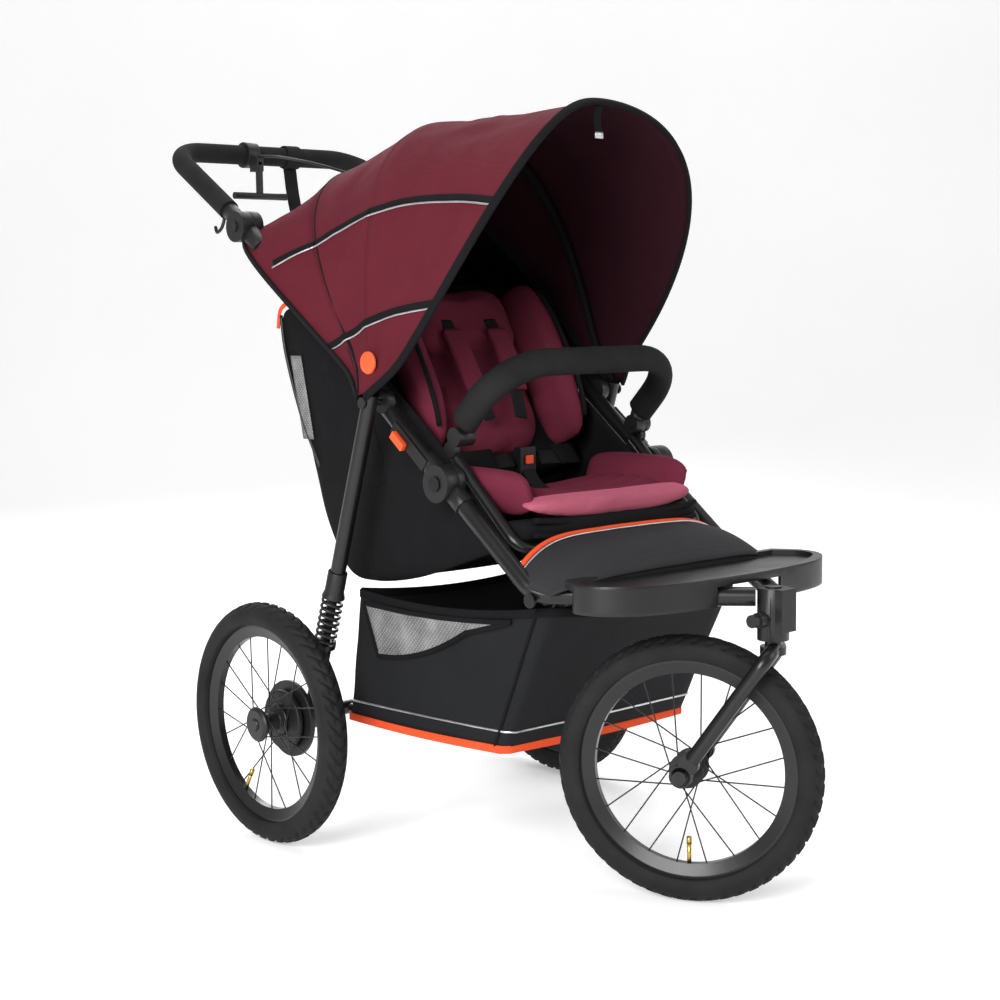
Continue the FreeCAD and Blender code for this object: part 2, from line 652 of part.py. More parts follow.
# ---------------------------------------------------------------- bumper bar
bumper_x = size("bumper_x")
front_y = size("bumper_front_y")
bar_z = size("bumper_top_z")
bar_end = (-150, 703)
bumper_path = [(-bumper_x, *bar_end), (-bumper_x, front_y, bar_z),
               (bumper_x, front_y, bar_z), (bumper_x, *bar_end)]
bumper_bar = tube(bumper_path, size("bumper_bend"), size("bumper_radius"))
node("bumper_bar", feature(bumper_bar))
ends = []
for side in SIDES.values():
    end = disc(side, bumper_pivot, 178, 200, 15)
    end = end.fuse(tube([(side * 188, -143.5, 684), (side * 188.8, -151, 705)], 0, 11)).cut(bumper_bar)
    end = end.cut(disc(side, bumper_pivot, 181, 210, 5 + gap))
    ends.append(feature(end.cut(disc(side, bumper_pivot, 170, 184.5, 7 + gap))))
node("bumper_end_caps", *ends)
for side_name, side in SIDES.items():
    node("bumper_button_" + side_name, feature(disc(side, bumper_pivot, 175, 180.5, 7)))


# ---------------------------------------------------------------- footrest, rails, basket
def side_prism(outline, half_width):
    """A solid with a side-view outline of (y, z) points, equally wide to both sides of the middle."""
    points = [Vector(-half_width, y, z) for y, z in outline]
    face = Part.Face(Part.makePolygon(points + points[:1]))
    return face.extrude(Vector(2 * half_width, 0, 0))


def tray_outline(inset):
    """The footrest's outline seen from above, drawn in by an inset."""
    half = size("tray_half_width") - inset
    back = size("tray_back_y") - inset
    ends = size("tray_end_y")
    nose_y = size("tray_front_y") + inset
    back_edge = Part.makeLine(Vector(-half + 22, back, 0), Vector(half - 22, back, 0))
    front_edge = Part.BSplineCurve()
    front_edge.interpolate([Vector(x * half, y, 0) for x, y in (
        (1, ends + 24), (0.985, ends - 12), (0.84, ends - 52 + inset), (0.45, nose_y + 7), (0, nose_y),
        (-0.45, nose_y + 7), (-0.84, ends - 52 + inset), (-0.985, ends - 12), (-1, ends + 24))])
    right = Part.makeLine(Vector(half - 22, back, 0), Vector(half, ends + 24, 0))
    left = Part.makeLine(Vector(-half, ends + 24, 0), Vector(-half + 22, back, 0))
    return Part.Face(Part.Wire([back_edge, right, front_edge.toShape(), left]))


def tray():
    """Crescent footrest: a shallow tray on top and a hollow below that takes the frame tubes."""
    deep = size("tray_thickness")
    solid = tray_outline(0).extrude(Z_AXIS * deep)
    pocket = tray_outline(13).extrude(Z_AXIS * 20)
    pocket.translate(Z_AXIS * (deep - 8))
    hollow = tray_outline(5).extrude(Z_AXIS * (deep - 12 + 10))
    hollow.translate(Z_AXIS * -10)
    doorway = Part.makeBox(2 * size("tray_half_width") - 8, 60, deep - 12 + 10)
    doorway.translate(Vector(4 - size("tray_half_width"), size("tray_back_y") - 40, -10))
    neck_gap = Part.makeBox(140, 60, deep - 12 + 10)
    neck_gap.translate(Vector(-70, size("tray_front_y") - 20, -10))
    solid = solid.cut(pocket).cut(hollow).cut(doorway).cut(neck_gap)
    solid.translate(Z_AXIS * size("tray_z"))
    return solid


node("footrest_tray", feature(tray()))


def rail(side):
    """Lower rail: from the front bolt down the basket's front corner, then back to the axle."""
    top = at_side(front_bolt, side, 177)
    knee = Vector(side * 188, -216, 219)
    start = top + (knee - top).normalize() * 14
    shape = tube([start, knee, Vector(side * 212, 128, 217)], 30, size("rail_radius"))
    shape = shape.fuse(disc(side, front_bolt, 170, 184, 17))
    return shape.cut(disc(side, front_bolt, 150, 230, 10 + gap))


node("side_rails", *[feature(rail(side)) for side in SIDES.values()])


def basket_section(front_y, rear_y, front_half, rear_half, heights, inset):
    """A closed trapezium for the basket's loft. Heights are its front and rear edge's heights."""
    front_z, rear_z = heights
    points = [Vector(-front_half + inset, front_y + inset, front_z),
              Vector(front_half - inset, front_y + inset, front_z),
              Vector(rear_half - inset, rear_y - inset, rear_z),
              Vector(-rear_half + inset, rear_y - inset, rear_z)]
    return Part.makePolygon(points + points[:1])


def basket():
    """Open-topped fabric basket, narrower at the front and at the bottom."""
    bottom = size("basket_bottom")
    top = size("basket_top")
    rear_top = size("basket_rear_top")
    front_half = size("basket_front_half")
    rear_half = size("basket_rear_half")
    top_half = size("basket_front_top_half")
    low_y = (size("basket_front_y"), size("basket_rear_y"))
    high_y = (size("basket_front_top_y"), size("basket_rear_top_y"))
    skin = size("basket_skin")
    outside = Part.makeLoft([
        basket_section(*low_y, front_half, rear_half, (bottom, bottom), 0),
        basket_section(*high_y, top_half, rear_half + 4, (top, rear_top), 0)], True)
    inside = Part.makeLoft([
        basket_section(*low_y, front_half, rear_half, (bottom + skin, bottom + skin), skin),
        basket_section(high_y[0] - 2, high_y[1], top_half, rear_half + 4,
                       (top + skin, rear_top + skin), skin)], True)
    return outside.cut(inside)


node("basket", feature(basket()))


# ---------------------------------------------------------------- seat
SEAT_OUTLINE = [(-284, 545), (-284, 588), (-150, 600), (-45, 602), (-8, 563), (150, 560), (185, 540),
                (146, 425), (60, 432), (-33, 455), (-200, 528)]
APRON_OUTLINE = [(-300, 520), (-300, 541), (-345, 522), (-400, 490), (-400, 480), (-368, 481)]
SLING_HOLLOW = [(-188, 545), (-30, 545), (0, 520), (172, 530), (141, 432), (60, 439), (-32, 462)]
sling = side_prism(SEAT_OUTLINE, size("seat_half_width"))
node("seat_base", feature(sling.cut(side_prism(SLING_HOLLOW, size("seat_half_width") + 5))))
node("calf_apron", feature(side_prism(APRON_OUTLINE, size("apron_half_width"))))


def backrest():
    """Padded back with two side bolsters that stand forward of it, on a hinge roll."""
    half = size("seat_half_width") - 2
    bolster_half = 16
    face = [(-38, 608), (-22, 585), (6, 584), (170, 888), (150, 915), (122, 912)]
    bolster = [(-60, 640), (-38, 606), (122, 910), (60, 915), (-20, 880), (-75, 760)]
    shape = side_prism(face, half)
    for side in SIDES.values():
        wing = side_prism(bolster, bolster_half)
        wing.translate(X_AXIS * side * (half - bolster_half - 1))
        shape = shape.fuse(wing)
    hinge_roll = Part.makeCylinder(8, 2 * half, Vector(-half, 0, 585), X_AXIS)
    return shape.fuse(hinge_roll).removeSplitter()


node("backrest", feature(backrest()))
POUCH_OUTLINE = [(9, 583), (172, 886), (325, 893), (303, 800), (262, 680), (222, 600), (190, 572)]
POUCH_HOLLOW = [(20, 595), (176, 930), (320, 930), (297, 802), (256, 682), (217, 604), (188, 579)]
pouch_half = size("pouch_half_width")
pouch_skin = 4
node("rear_pouch", feature(side_prism(POUCH_OUTLINE, pouch_half).cut(
    side_prism(POUCH_HOLLOW, pouch_half - pouch_skin))))
button_place = Vector(0, -86, 630)
button_pocket = block("14.2", "8", "14.2", button_place + Vector(0, 2.5, 0))
node("harness_buckle", cut(block("34", "16", "46", (0, -75, 627)), button_pocket))
node("buckle_button", block("14", "5", "14", button_place))


# ---------------------------------------------------------------- hood
def hoop_curve(half_width, reach, square, start=0.0, count=33):
    """Arch in the plane of X and the distance from the pivot line. Square sets how full its corners are."""
    first = math.atan2(start / reach, 1)
    points = []
    for i in range(count):
        turn = first + (math.pi - 2 * first) * i / (count - 1)
        spread = (abs(math.cos(turn)) ** square + math.sin(turn) ** square) ** (-1 / square)
        points.append(Vector(half_width * spread * math.cos(turn), reach * spread * math.sin(turn), 0))
    return points


def hoop(angle, reach, square, lane):
    """Flat strip bent to an arch. The lane sets how far out it sits, so that hoops pass each other."""
    thick = size("hoop_thickness")
    half = size("hoop_half_width") + lane * (thick + 0.5)
    outer_line = Part.BSplineCurve()
    outer_line.interpolate(hoop_curve(half, reach, square))
    inner_line = Part.BSplineCurve()
    inner_line.interpolate(hoop_curve(half - thick, reach - thick, square))
    right_end = Part.makeLine(Vector(half, 0, 0), Vector(half - thick, 0, 0))
    left_end = Part.makeLine(Vector(-half, 0, 0), Vector(thick - half, 0, 0))
    wire = Part.Wire([outer_line.toShape(), left_end, inner_line.toShape(), right_end])
    depth = size("hoop_depth")
    strip = Part.Face(wire).extrude(Z_AXIS * depth)
    strip.translate(Z_AXIS * (-depth / 2))
    for side in SIDES.values():
        eye = Part.makeCylinder(depth, thick, Vector(side * half, 0, 0), X_AXIS * -side)
        strip = strip.fuse(eye)
    strip = strip.cut(Part.makeCylinder(shared_pin_radius + gap, 600, Vector(-300, 0, 0), X_AXIS))
    return feature(strip, Placement(leg_top, Rotation(X_AXIS, angle)))


# The middle hoop is the shortest, so it takes the innermost lane and can swing through the rear one.
rear_square = size("rear_hoop_square")
middle_square = size("middle_hoop_square")
rim_square = size("rim_square")
node("hood_rear_hoop", hoop(size("rear_hoop_angle"), size("rear_hoop_reach"), rear_square, 1))
node("hood_middle_hoop", hoop(size("middle_hoop_angle"), size("middle_hoop_reach"), middle_square, 0))
node("hood_rim", hoop(size("rim_angle"), size("rim_reach"), rim_square, 2))


def hood_section(angle, half_width, reach, square):
    """A thin closed arch band at one hood angle, for the skin's loft."""
    skin = size("hood_skin")
    outer_points = hoop_curve(half_width, reach, square, size("hood_skin_start"))
    inner_points = hoop_curve(half_width - skin, reach - skin, square, size("hood_skin_start"))
    outline = outer_points + inner_points[::-1]
    place = Placement(leg_top, Rotation(X_AXIS, angle))
    points = [place.multVec(p) for p in outline]
    return Part.makePolygon(points + points[:1])


half_skin = size("hoop_half_width") + 11
sections = [
    hood_section(size("rear_hoop_angle") - 4, half_skin, size("rear_hoop_reach") + 4, rear_square),
    hood_section(size("rear_hoop_angle"), half_skin, size("rear_hoop_reach") + 6, rear_square),
    hood_section(size("middle_hoop_angle"), half_skin, size("middle_hoop_reach") + 6, middle_square),
    hood_section(size("rim_angle") - 1, half_skin, size("rim_reach") + 6, rim_square),
    hood_section(size("rim_angle") + 2, half_skin, size("rim_reach") + 6, rim_square),
]
node("hood_fabric", feature(Part.makeLoft(sections, True, True)))


# ---------------------------------------------------------------- check and write
doc.recompute()
for item in doc.Objects:
    if "Invalid" in item.State or "Error" in item.State:
        raise SystemExit("object %s failed: %s" % (item.Label, item.State))
os.makedirs("parts", exist_ok=True)
for item in NODES:
    shape = item.Shape
    if shape.isNull() or not shape.isValid() or not shape.Solids:
        raise SystemExit("sub-part %s has no valid solid" % item.Label)
    shape.exportStep(os.path.join("parts", item.Label + ".step"))
print("wrote", len(NODES), "sub-parts")
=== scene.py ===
"""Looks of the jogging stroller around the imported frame. Metres; -Y is the front, -X the camera side."""
import json
import math
from collections import namedtuple

import bpy
from mathutils import Matrix, Vector, noise
from mathutils.bvhtree import BVHTree


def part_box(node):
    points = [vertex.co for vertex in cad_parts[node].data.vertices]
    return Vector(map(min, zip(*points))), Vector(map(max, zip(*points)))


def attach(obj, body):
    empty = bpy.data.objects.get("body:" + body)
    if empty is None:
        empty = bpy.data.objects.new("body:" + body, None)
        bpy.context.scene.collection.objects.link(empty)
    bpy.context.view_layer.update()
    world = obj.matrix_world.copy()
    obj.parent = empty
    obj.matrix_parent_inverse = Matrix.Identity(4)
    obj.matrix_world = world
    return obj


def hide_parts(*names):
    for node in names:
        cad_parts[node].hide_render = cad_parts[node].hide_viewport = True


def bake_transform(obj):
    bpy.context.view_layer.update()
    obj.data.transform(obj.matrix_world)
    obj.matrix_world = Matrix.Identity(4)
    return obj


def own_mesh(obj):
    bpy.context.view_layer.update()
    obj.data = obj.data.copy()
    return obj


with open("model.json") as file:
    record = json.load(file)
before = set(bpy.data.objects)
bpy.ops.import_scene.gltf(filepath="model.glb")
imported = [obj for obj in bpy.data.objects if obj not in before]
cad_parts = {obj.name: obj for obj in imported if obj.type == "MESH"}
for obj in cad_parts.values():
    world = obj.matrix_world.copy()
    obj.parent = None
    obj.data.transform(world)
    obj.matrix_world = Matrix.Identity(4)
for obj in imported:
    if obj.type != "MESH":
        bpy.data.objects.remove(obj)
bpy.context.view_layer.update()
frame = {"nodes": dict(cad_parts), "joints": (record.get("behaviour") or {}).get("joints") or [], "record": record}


def find_joint(key, value):
    """The first joint of the frame that has this value."""
    return [joint for joint in frame["joints"] if joint[key] == value][0]


SIDES = {"left": -1, "right": 1}
hood_pivot = Vector(find_joint("name", "hood_hinge")["pos_m"])
handle_joint = Vector(find_joint("name", "handle_hinge")["pos_m"])
BACK_FOOT = Vector((0, 0.004, 0.590))
BACK_UP = Vector((0, 0.486, 0.874)).normalized()
BACK_OUT = Vector((0, -0.874, 0.486)).normalized()

# Bodies whose soft pieces get a mesh of their own. Each holds a direction, an anchor and the share that is kept,
# which nothing here reads.
FLATTENED = {
    "lower_rails": ((0, 0, 1), (0, 0, 0.21), 0.35),
    "chassis": ((0, 0, 1), (0, 0, 0.57), 0.3),
    "backrest": (BACK_OUT, BACK_FOOT, 0.35),
}


# ---------------------------------------------------------------- mesh helpers
def shares(count):
    """Even steps from 0 to 1."""
    return [i / (count - 1) for i in range(count)]


def spread(count):
    """Even steps from -1 to 1."""
    return [-1 + 2 * i / (count - 1) for i in range(count)]


def turns(count):
    """Even steps round a circle, in radians."""
    return [2 * math.pi * k / count for k in range(count)]


def make_mesh(name, points, faces):
    """A smooth-shaded mesh object from points and faces."""
    mesh = bpy.data.meshes.new(name)
    mesh.from_pydata([tuple(p) for p in points], [], faces)
    mesh.validate()
    for polygon in mesh.polygons:
        polygon.use_smooth = True
    item = bpy.data.objects.new(name, mesh)
    bpy.context.scene.collection.objects.link(item)
    return item


def grid_faces(row_count, column_count, ring_rows=False, ring_columns=False, start=0):
    """Quads between the points of a grid stored row by row."""
    faces = []
    for i in range(row_count if ring_rows else row_count - 1):
        for j in range(column_count if ring_columns else column_count - 1):
            k = (i + 1) % row_count
            m = (j + 1) % column_count
            faces.append([start + i * column_count + j, start + i * column_count + m,
                          start + k * column_count + m, start + k * column_count + j])
    return faces


def sheet(name, rows, ring_columns=False):
    """An open surface through rows of points."""
    points = [p for row in rows for p in row]
    return make_mesh(name, points, grid_faces(len(rows), len(rows[0]), False, ring_columns))


def apply_modifiers(item):
    """Replaces the object's mesh by its modified mesh."""
    bpy.context.view_layer.update()
    graph = bpy.context.evaluated_depsgraph_get()
    mesh = bpy.data.meshes.new_from_object(item.evaluated_get(graph))
    item.modifiers.clear()
    item.data = mesh
    for polygon in mesh.polygons:
        polygon.use_smooth = True
    return item


def thicken(item, thickness, offset=-1.0, inner_slot=0):
    """Gives a sheet thickness. Offset -1 grows it behind its normals."""
    solid = item.modifiers.new("Thickness", "SOLIDIFY")
    solid.thickness = thickness
    solid.offset = offset
    solid.material_offset = inner_slot
    solid.material_offset_rim = inner_slot
    return apply_modifiers(item)


def face_outward(item, inside):
    """Turns the faces of an open sheet away from a point."""
    middle = item.data.polygons[len(item.data.polygons) // 2]
    if middle.normal.dot(middle.center - inside) < 0:
        item.data.flip_normals()


def cloth_sheet(name, rows, inside, thickness):
    """Cloth through rows of points, facing away from a point and thickened behind its face."""
    item = sheet(name, rows)
    face_outward(item, Vector(inside))
    return thicken(item, thickness)


def smooth_path(points, steps=8, closed=False):
    """A Catmull-Rom curve through points."""
    points = [Vector(p) for p in points]
    count = len(points)
    path = []
    for i in range(count if closed else count - 1):
        if closed:
            a, b, c, d = (points[(i + k) % count] for k in (-1, 0, 1, 2))
        else:
            b, c = points[i], points[i + 1]
            a = points[i - 1] if i else b * 2 - c
            d = points[i + 2] if i + 2 < count else c * 2 - b
        for step in range(steps):
            t = step / steps
            path.append(0.5 * (2 * b + (c - a) * t + (2 * a - 5 * b + 4 * c - d) * t ** 2
                               + (3 * b - a - 3 * c + d) * t ** 3))
    if not closed:
        path.append(points[-1])
    return path


def tangents(path, closed=False):
    """Unit directions along a path."""
    last = len(path) - 1
    ways = []
    for i in range(len(path)):
        before = path[i - 1] if i or closed else path[0]
        after = path[(i + 1) % len(path)] if i < last or closed else path[last]
        ways.append((after - before).normalized())
    return ways


def tube(name, rows, closed=False):
    """A skin through rings of points. Its ends are capped, unless it closes on itself."""
    points = [p for row in rows for p in row]
    count = len(rows[0])
    faces = grid_faces(len(rows), count, closed, True)
    if not closed:
        faces.append(list(range(count))[::-1])
        faces.append([len(points) - count + k for k in range(count)])
    return make_mesh(name, points, faces)


def pipe(name, path, radius, sides=8, closed=False):
    """A round cord along a path."""
    ways = tangents(path, closed)
    normal = ways[0].orthogonal().normalized()
    rows = []
    for point, way in zip(path, ways):
        normal = (normal - way * normal.dot(way)).normalized()
        other = way.cross(normal)
        rows.append([point + (normal * math.cos(a) + other * math.sin(a)) * radius for a in turns(sides)])
    return tube(name, rows, closed)


def band(name, path, normals, width, thickness, closed=False):
    """A flat strap with rounded edges along a path. Each normal points out of its flat face."""
    half_profile = [(-0.5, 0.0), (-0.46, 0.35), (-0.38, 0.5), (0.0, 0.5), (0.38, 0.5), (0.46, 0.35)]
    profile = half_profile + [(-a, -b) for a, b in half_profile]
    rows = []
    for point, way, normal in zip(path, tangents(path, closed), normals):
        across = way.cross(normal).normalized()
        up = across.cross(way).normalized()
        rows.append([point + across * a * width + up * b * thickness for a, b in profile])
    return tube(name, rows, closed)


def ripple(point, scale, seed=0.0):
    """Smooth seeded noise between about -1 and 1."""
    return noise.noise(Vector(point) * scale + Vector((seed, seed * 1.7, -seed)))


# ---------------------------------------------------------------- cloth
def puff(item, voxel=0.005, pressure=4.0, cap=0.008, frames=20):
    """Swells a closed pad like filled fabric, by cloth under inner pressure with a capped move."""
    remesh = item.modifiers.new("Remesh", "REMESH")
    remesh.mode = "VOXEL"
    remesh.voxel_size = voxel
    apply_modifiers(item)
    rest = [v.co.copy() for v in item.data.vertices]
    cloth = item.modifiers.new("Cloth", "CLOTH")
    settings = cloth.settings
    settings.quality = 4
    settings.use_pressure = True
    settings.uniform_pressure_force = pressure
    settings.effector_weights.gravity = 0
    settings.tension_stiffness = 12
    settings.compression_stiffness = 12
    settings.bending_stiffness = 0.3
    cloth.collision_settings.use_collision = False
    scene = bpy.context.scene
    for number in range(1, frames + 1):
        scene.frame_set(number)
    apply_modifiers(item)
    for vertex, start in zip(item.data.vertices, rest):
        move = vertex.co - start
        if move.length > cap:
            vertex.co = start + move.normalized() * cap
    scene.frame_set(1)
    relax = item.modifiers.new("Relax", "SMOOTH")
    relax.iterations = 4
    return apply_modifiers(item)


def rounded(u, v, corner=0.34):
    """Draws the corners of the square of u and v in, so that a pad gets a rounded outline."""
    return u * math.sqrt(1 - corner * v * v * v * v), v * math.sqrt(1 - corner * u * u * u * u)


def pad(name, place, thickness, count=30, seams=()):
    """A closed crowned pad. Place(u, v) gives a base point and the way out, for u and v from -1 to 1.

    Seams are values of v along which the pad is stitched down.
    """
    steps = spread(count)
    rim_half = 0.0032
    top = []
    base = []
    for v in steps:
        for u in steps:
            point, way = place(*rounded(u, v))
            crown = max(0.0, (1 - abs(u) ** 5) * (1 - abs(v) ** 5)) ** 0.5
            for seam in seams:
                crown *= 1 - 0.45 * math.exp(-((v - seam) / 0.07) ** 2)
            top.append(point + way * (thickness * crown + rim_half))
            base.append(point - way * (thickness * 0.25 * crown + rim_half))
    faces = grid_faces(count, count)
    total = count * count
    faces += [[total + k for k in face[::-1]] for face in faces]
    rim = list(range(count)) + [i * count + count - 1 for i in range(1, count)]
    rim += [total - 1 - i for i in range(1, count)] + [(count - 1 - i) * count for i in range(1, count - 1)]
    for i in range(len(rim)):
        a, b = rim[i], rim[(i + 1) % len(rim)]
        faces.append([b, a, total + a, total + b])
    return make_mesh(name, top + base, faces)


# ---------------------------------------------------------------- materials
class Tree:
    """A small writer of shader nodes for one material."""

    def __init__(self, name):
        self.material = bpy.data.materials.new(name)
        self.material.use_nodes = True
        self.nodes = self.material.node_tree.nodes
        self.links = self.material.node_tree.links
        self.nodes.clear()
        self.out = self.nodes.new("ShaderNodeOutputMaterial")
        self.shader = self.nodes.new("ShaderNodeBsdfPrincipled")
        self.links.new(self.shader.outputs["BSDF"], self.out.inputs["Surface"])
        coordinates = self.nodes.new("ShaderNodeTexCoord")
        self.place = coordinates.outputs["Object"]

    def set(self, **values):
        """Fixed values of the main shader, with underscores for spaces."""
        for name, value in values.items():
            self.shader.inputs[name.replace("_", " ")].default_value = value

    def put(self, socket, value):
        """Sets an input to a number, or links an output to it."""
        if isinstance(value, (int, float)):
            socket.default_value = value
        else:
            self.links.new(value, socket)

    def math(self, operation, a, b=0.0, c=0.0):
        """A math node's output. Inputs are numbers or sockets."""
        node = self.nodes.new("ShaderNodeMath")
        node.operation = operation
        for socket, value in zip(node.inputs, (a, b, c)):
            self.put(socket, value)
        return node.outputs[0]

    def noise(self, scale, detail=3.0, rough=0.55):
        """Noise of so many waves per metre, from 0 to 1."""
        node = self.nodes.new("ShaderNodeTexNoise")
        node.inputs["Scale"].default_value = scale
        node.inputs["Detail"].default_value = detail
        node.inputs["Roughness"].default_value = rough
        self.links.new(self.place, node.inputs["Vector"])
        return node.outputs["Fac"]

    def ramp(self, factor, low, high, start=0.3, end=0.7):
        """A colour between two, by factor."""
        node = self.nodes.new("ShaderNodeValToRGB")
        node.color_ramp.elements[0].position = start
        node.color_ramp.elements[0].color = (*low, 1)
        node.color_ramp.elements[1].position = end
        node.color_ramp.elements[1].color = (*high, 1)
        self.links.new(factor, node.inputs["Fac"])
        return node.outputs["Color"]

    def mix(self, factor, a, b):
        """A mix of two colours."""
        node = self.nodes.new("ShaderNodeMix")
        node.data_type = "RGBA"
        for place, value in ((0, factor), (6, a), (7, b)):
            self.put(node.inputs[place], value)
        return node.outputs[2]

    def shade(self, colour, dark, light, scale, detail=3.0):
        """A colour that drifts between a darker and a lighter shade."""
        return self.ramp(self.noise(scale, detail), scaled(colour, dark), scaled(colour, light))

    def gloss(self, low, swing, scale, detail=3.0):
        """Roughness that drifts upward from its lowest value."""
        self.feed("Roughness", self.math("MULTIPLY_ADD", self.noise(scale, detail), swing, low))

    def feed(self, name, socket):
        """Drives an input of the main shader."""
        self.links.new(socket, self.shader.inputs[name])

    def bump(self, *layers):
        """Stacks bump layers, each a height socket, a strength and a depth in metres."""
        normal = None
        for height, strength, distance in layers:
            node = self.nodes.new("ShaderNodeBump")
            node.inputs["Strength"].default_value = strength
            node.inputs["Distance"].default_value = distance
            self.links.new(height, node.inputs["Height"])
            if normal:
                self.links.new(normal, node.inputs["Normal"])
            normal = node.outputs["Normal"]
        self.feed("Normal", normal)

    def weave(self, pitch):
        """Crossing threads that follow whichever way the surface faces, from -1 to 1."""
        split = self.nodes.new("ShaderNodeSeparateXYZ")
        self.links.new(self.place, split.inputs[0])
        geometry = self.nodes.new("ShaderNodeNewGeometry")
        facing = self.nodes.new("ShaderNodeSeparateXYZ")
        self.links.new(geometry.outputs["Normal"], facing.inputs[0])
        per_metre = 2 * math.pi / pitch
        waves = [self.math("SINE", self.math("MULTIPLY", axis, per_metre)) for axis in split.outputs]
        total = None
        for first, second, third in ((0, 1, 2), (1, 0, 2), (2, 0, 1)):
            share = self.math("MULTIPLY", facing.outputs[first], facing.outputs[first])
            cross = self.math("MULTIPLY", waves[second], waves[third])
            part = self.math("MULTIPLY", share, cross)
            total = part if total is None else self.math("ADD", total, part)
        return total

    def edges(self):
        """Bright along sharp outer edges, for wear."""
        geometry = self.nodes.new("ShaderNodeNewGeometry")
        return self.ramp(geometry.outputs["Pointiness"], (0, 0, 0), (1, 1, 1), 0.60, 0.72)


def scaled(colour, factor):
    """A colour made lighter or darker."""
    return tuple(min(1.0, c * factor) for c in colour)


def fabric(name, colour, pitch=0.0024, rough=0.85, sheen=0.12, depth=0.0004, streak=0.12):
    """Woven cloth: threads, soft creases and slight shade changes."""
    tree = Tree(name)
    weave = tree.weave(pitch)
    cloudy = tree.shade(colour, 1 - streak, 1 + streak, 9, 4)
    dark_threads = tree.ramp(weave, scaled(colour, 0.72), scaled(colour, 1.18), 0.35, 0.65)
    tree.feed("Base Color", tree.mix(0.45, cloudy, dark_threads))
    tree.set(Roughness=rough, Sheen_Weight=sheen, Sheen_Roughness=0.45, Specular_IOR_Level=0.12)
    tree.shader.inputs["Sheen Tint"].default_value = (*scaled(colour, 2.2), 1)
    tree.bump((tree.noise(22, 3), 0.35, 0.004), (weave, 0.5, depth))
    return tree.material


def mesh_fabric(name, thread, gap, pitch=0.0075):
    """Open net cloth, seen as light threads over dark holes, with painted shade in the dips of its crumples."""
    tree = Tree(name)
    weave = tree.weave(pitch)
    crumple = tree.noise(26, 4)
    holes = tree.ramp(weave, gap, thread, 0.42, 0.58)
    # The threads darken where the crumple bump dips: painted shade in the folds.
    shade = tree.ramp(crumple, scaled(thread, 0.35), scaled(thread, 1.25))
    tree.feed("Base Color", tree.mix(0.5, holes, shade))
    tree.set(Roughness=0.6, Specular_IOR_Level=0.4)
    tree.bump((crumple, 0.6, 0.006), (weave, 0.6, 0.0006))
    return tree.material


def plastic(name, colour, rough=0.42, grain=0.00015):
    """Moulded plastic with a fine grain and rubbed edges."""
    tree = Tree(name)
    base = tree.shade(colour, 0.85, 1.2, 14)
    worn = tree.shade(colour, 1.2, 1.7, 40)
    tree.feed("Base Color", tree.mix(tree.edges(), base, worn))
    tree.gloss(rough - 0.08, 0.18, 30)
    tree.set(Specular_IOR_Level=0.35)
    tree.bump((tree.noise(1400, 2), 0.35, grain))
    return tree.material


def painted(name, colour, rough=0.3):
    """Satin powder coat with slight orange peel and uneven gloss."""
    tree = Tree(name)
    tree.feed("Base Color", tree.shade(colour, 0.9, 1.15, 6))
    tree.gloss(rough - 0.06, 0.16, 18)
    tree.set(Coat_Weight=0.12, Coat_Roughness=0.25, Specular_IOR_Level=0.35)
    tree.bump((tree.noise(520, 2), 0.18, 0.0002))
    return tree.material


def metal(name, colour, rough=0.32):
    """Brushed metal."""
    tree = Tree(name)
    tree.feed("Base Color", tree.shade(colour, 0.75, 1.15, 30, 4))
    tree.gloss(rough - 0.1, 0.2, 300, 2)
    tree.set(Metallic=1.0)
    tree.bump((tree.noise(900, 2), 0.2, 0.0001))
    return tree.material


def rubber(name, colour, rough=0.8, grain_scale=700, depth=0.0003):
    """Matt rubber or closed-cell foam with a pebbled skin and a little dust."""
    tree = Tree(name)
    tree.feed("Base Color", tree.shade(colour, 0.8, 1.45, 16, 5))
    tree.gloss(rough - 0.1, 0.2, 25)
    tree.set(Specular_IOR_Level=0.18)
    tree.bump((tree.noise(grain_scale, 2), 0.5, depth), (tree.noise(40), 0.15, 0.002))
    return tree.material


WINE = (0.100, 0.0115, 0.0205)
MATERIALS = {
    "frame_paint": painted("satin_black_paint", (0.006, 0.006, 0.0065)),
    "black_plastic": plastic("black_moulding", (0.010, 0.010, 0.011), 0.38),
    "dark_steel": metal("zinc_steel", (0.045, 0.045, 0.048), 0.38),
    "spring_steel": painted("spring_coating", (0.012, 0.012, 0.012), 0.35),
    "tyre_rubber": rubber("tyre_rubber", (0.010, 0.010, 0.0108), 0.7),
    "rim_black": painted("rim_coating", (0.008, 0.008, 0.009), 0.28),
    "spoke_steel": painted("spoke_coating", (0.006, 0.006, 0.006), 0.4),
    "foam_black": rubber("black_foam", (0.009, 0.009, 0.0095), 0.85, 1100, 0.0004),
    "orange_plastic": plastic("orange_moulding", (0.80, 0.085, 0.022), 0.35),
    "wine_fabric": fabric("wine_canvas", WINE),
    "liner_fabric": fabric("wine_liner", (0.135, 0.019, 0.038), 0.003, 0.9, 0.2),
    "black_fabric": fabric("black_canvas", (0.0065, 0.0065, 0.0075), 0.0026, 0.88, 0.05),
    "basket_fabric": fabric("charcoal_canvas", (0.012, 0.0125, 0.0145), 0.0026, 0.7, 0.05),
}
# The hood's wine lining, darkened far below the canopy's wine as painted shade for the inside of the hood.
hood_lining = fabric("hood_lining", (0.022, 0.004, 0.008), 0.0026, 0.9, 0.05)
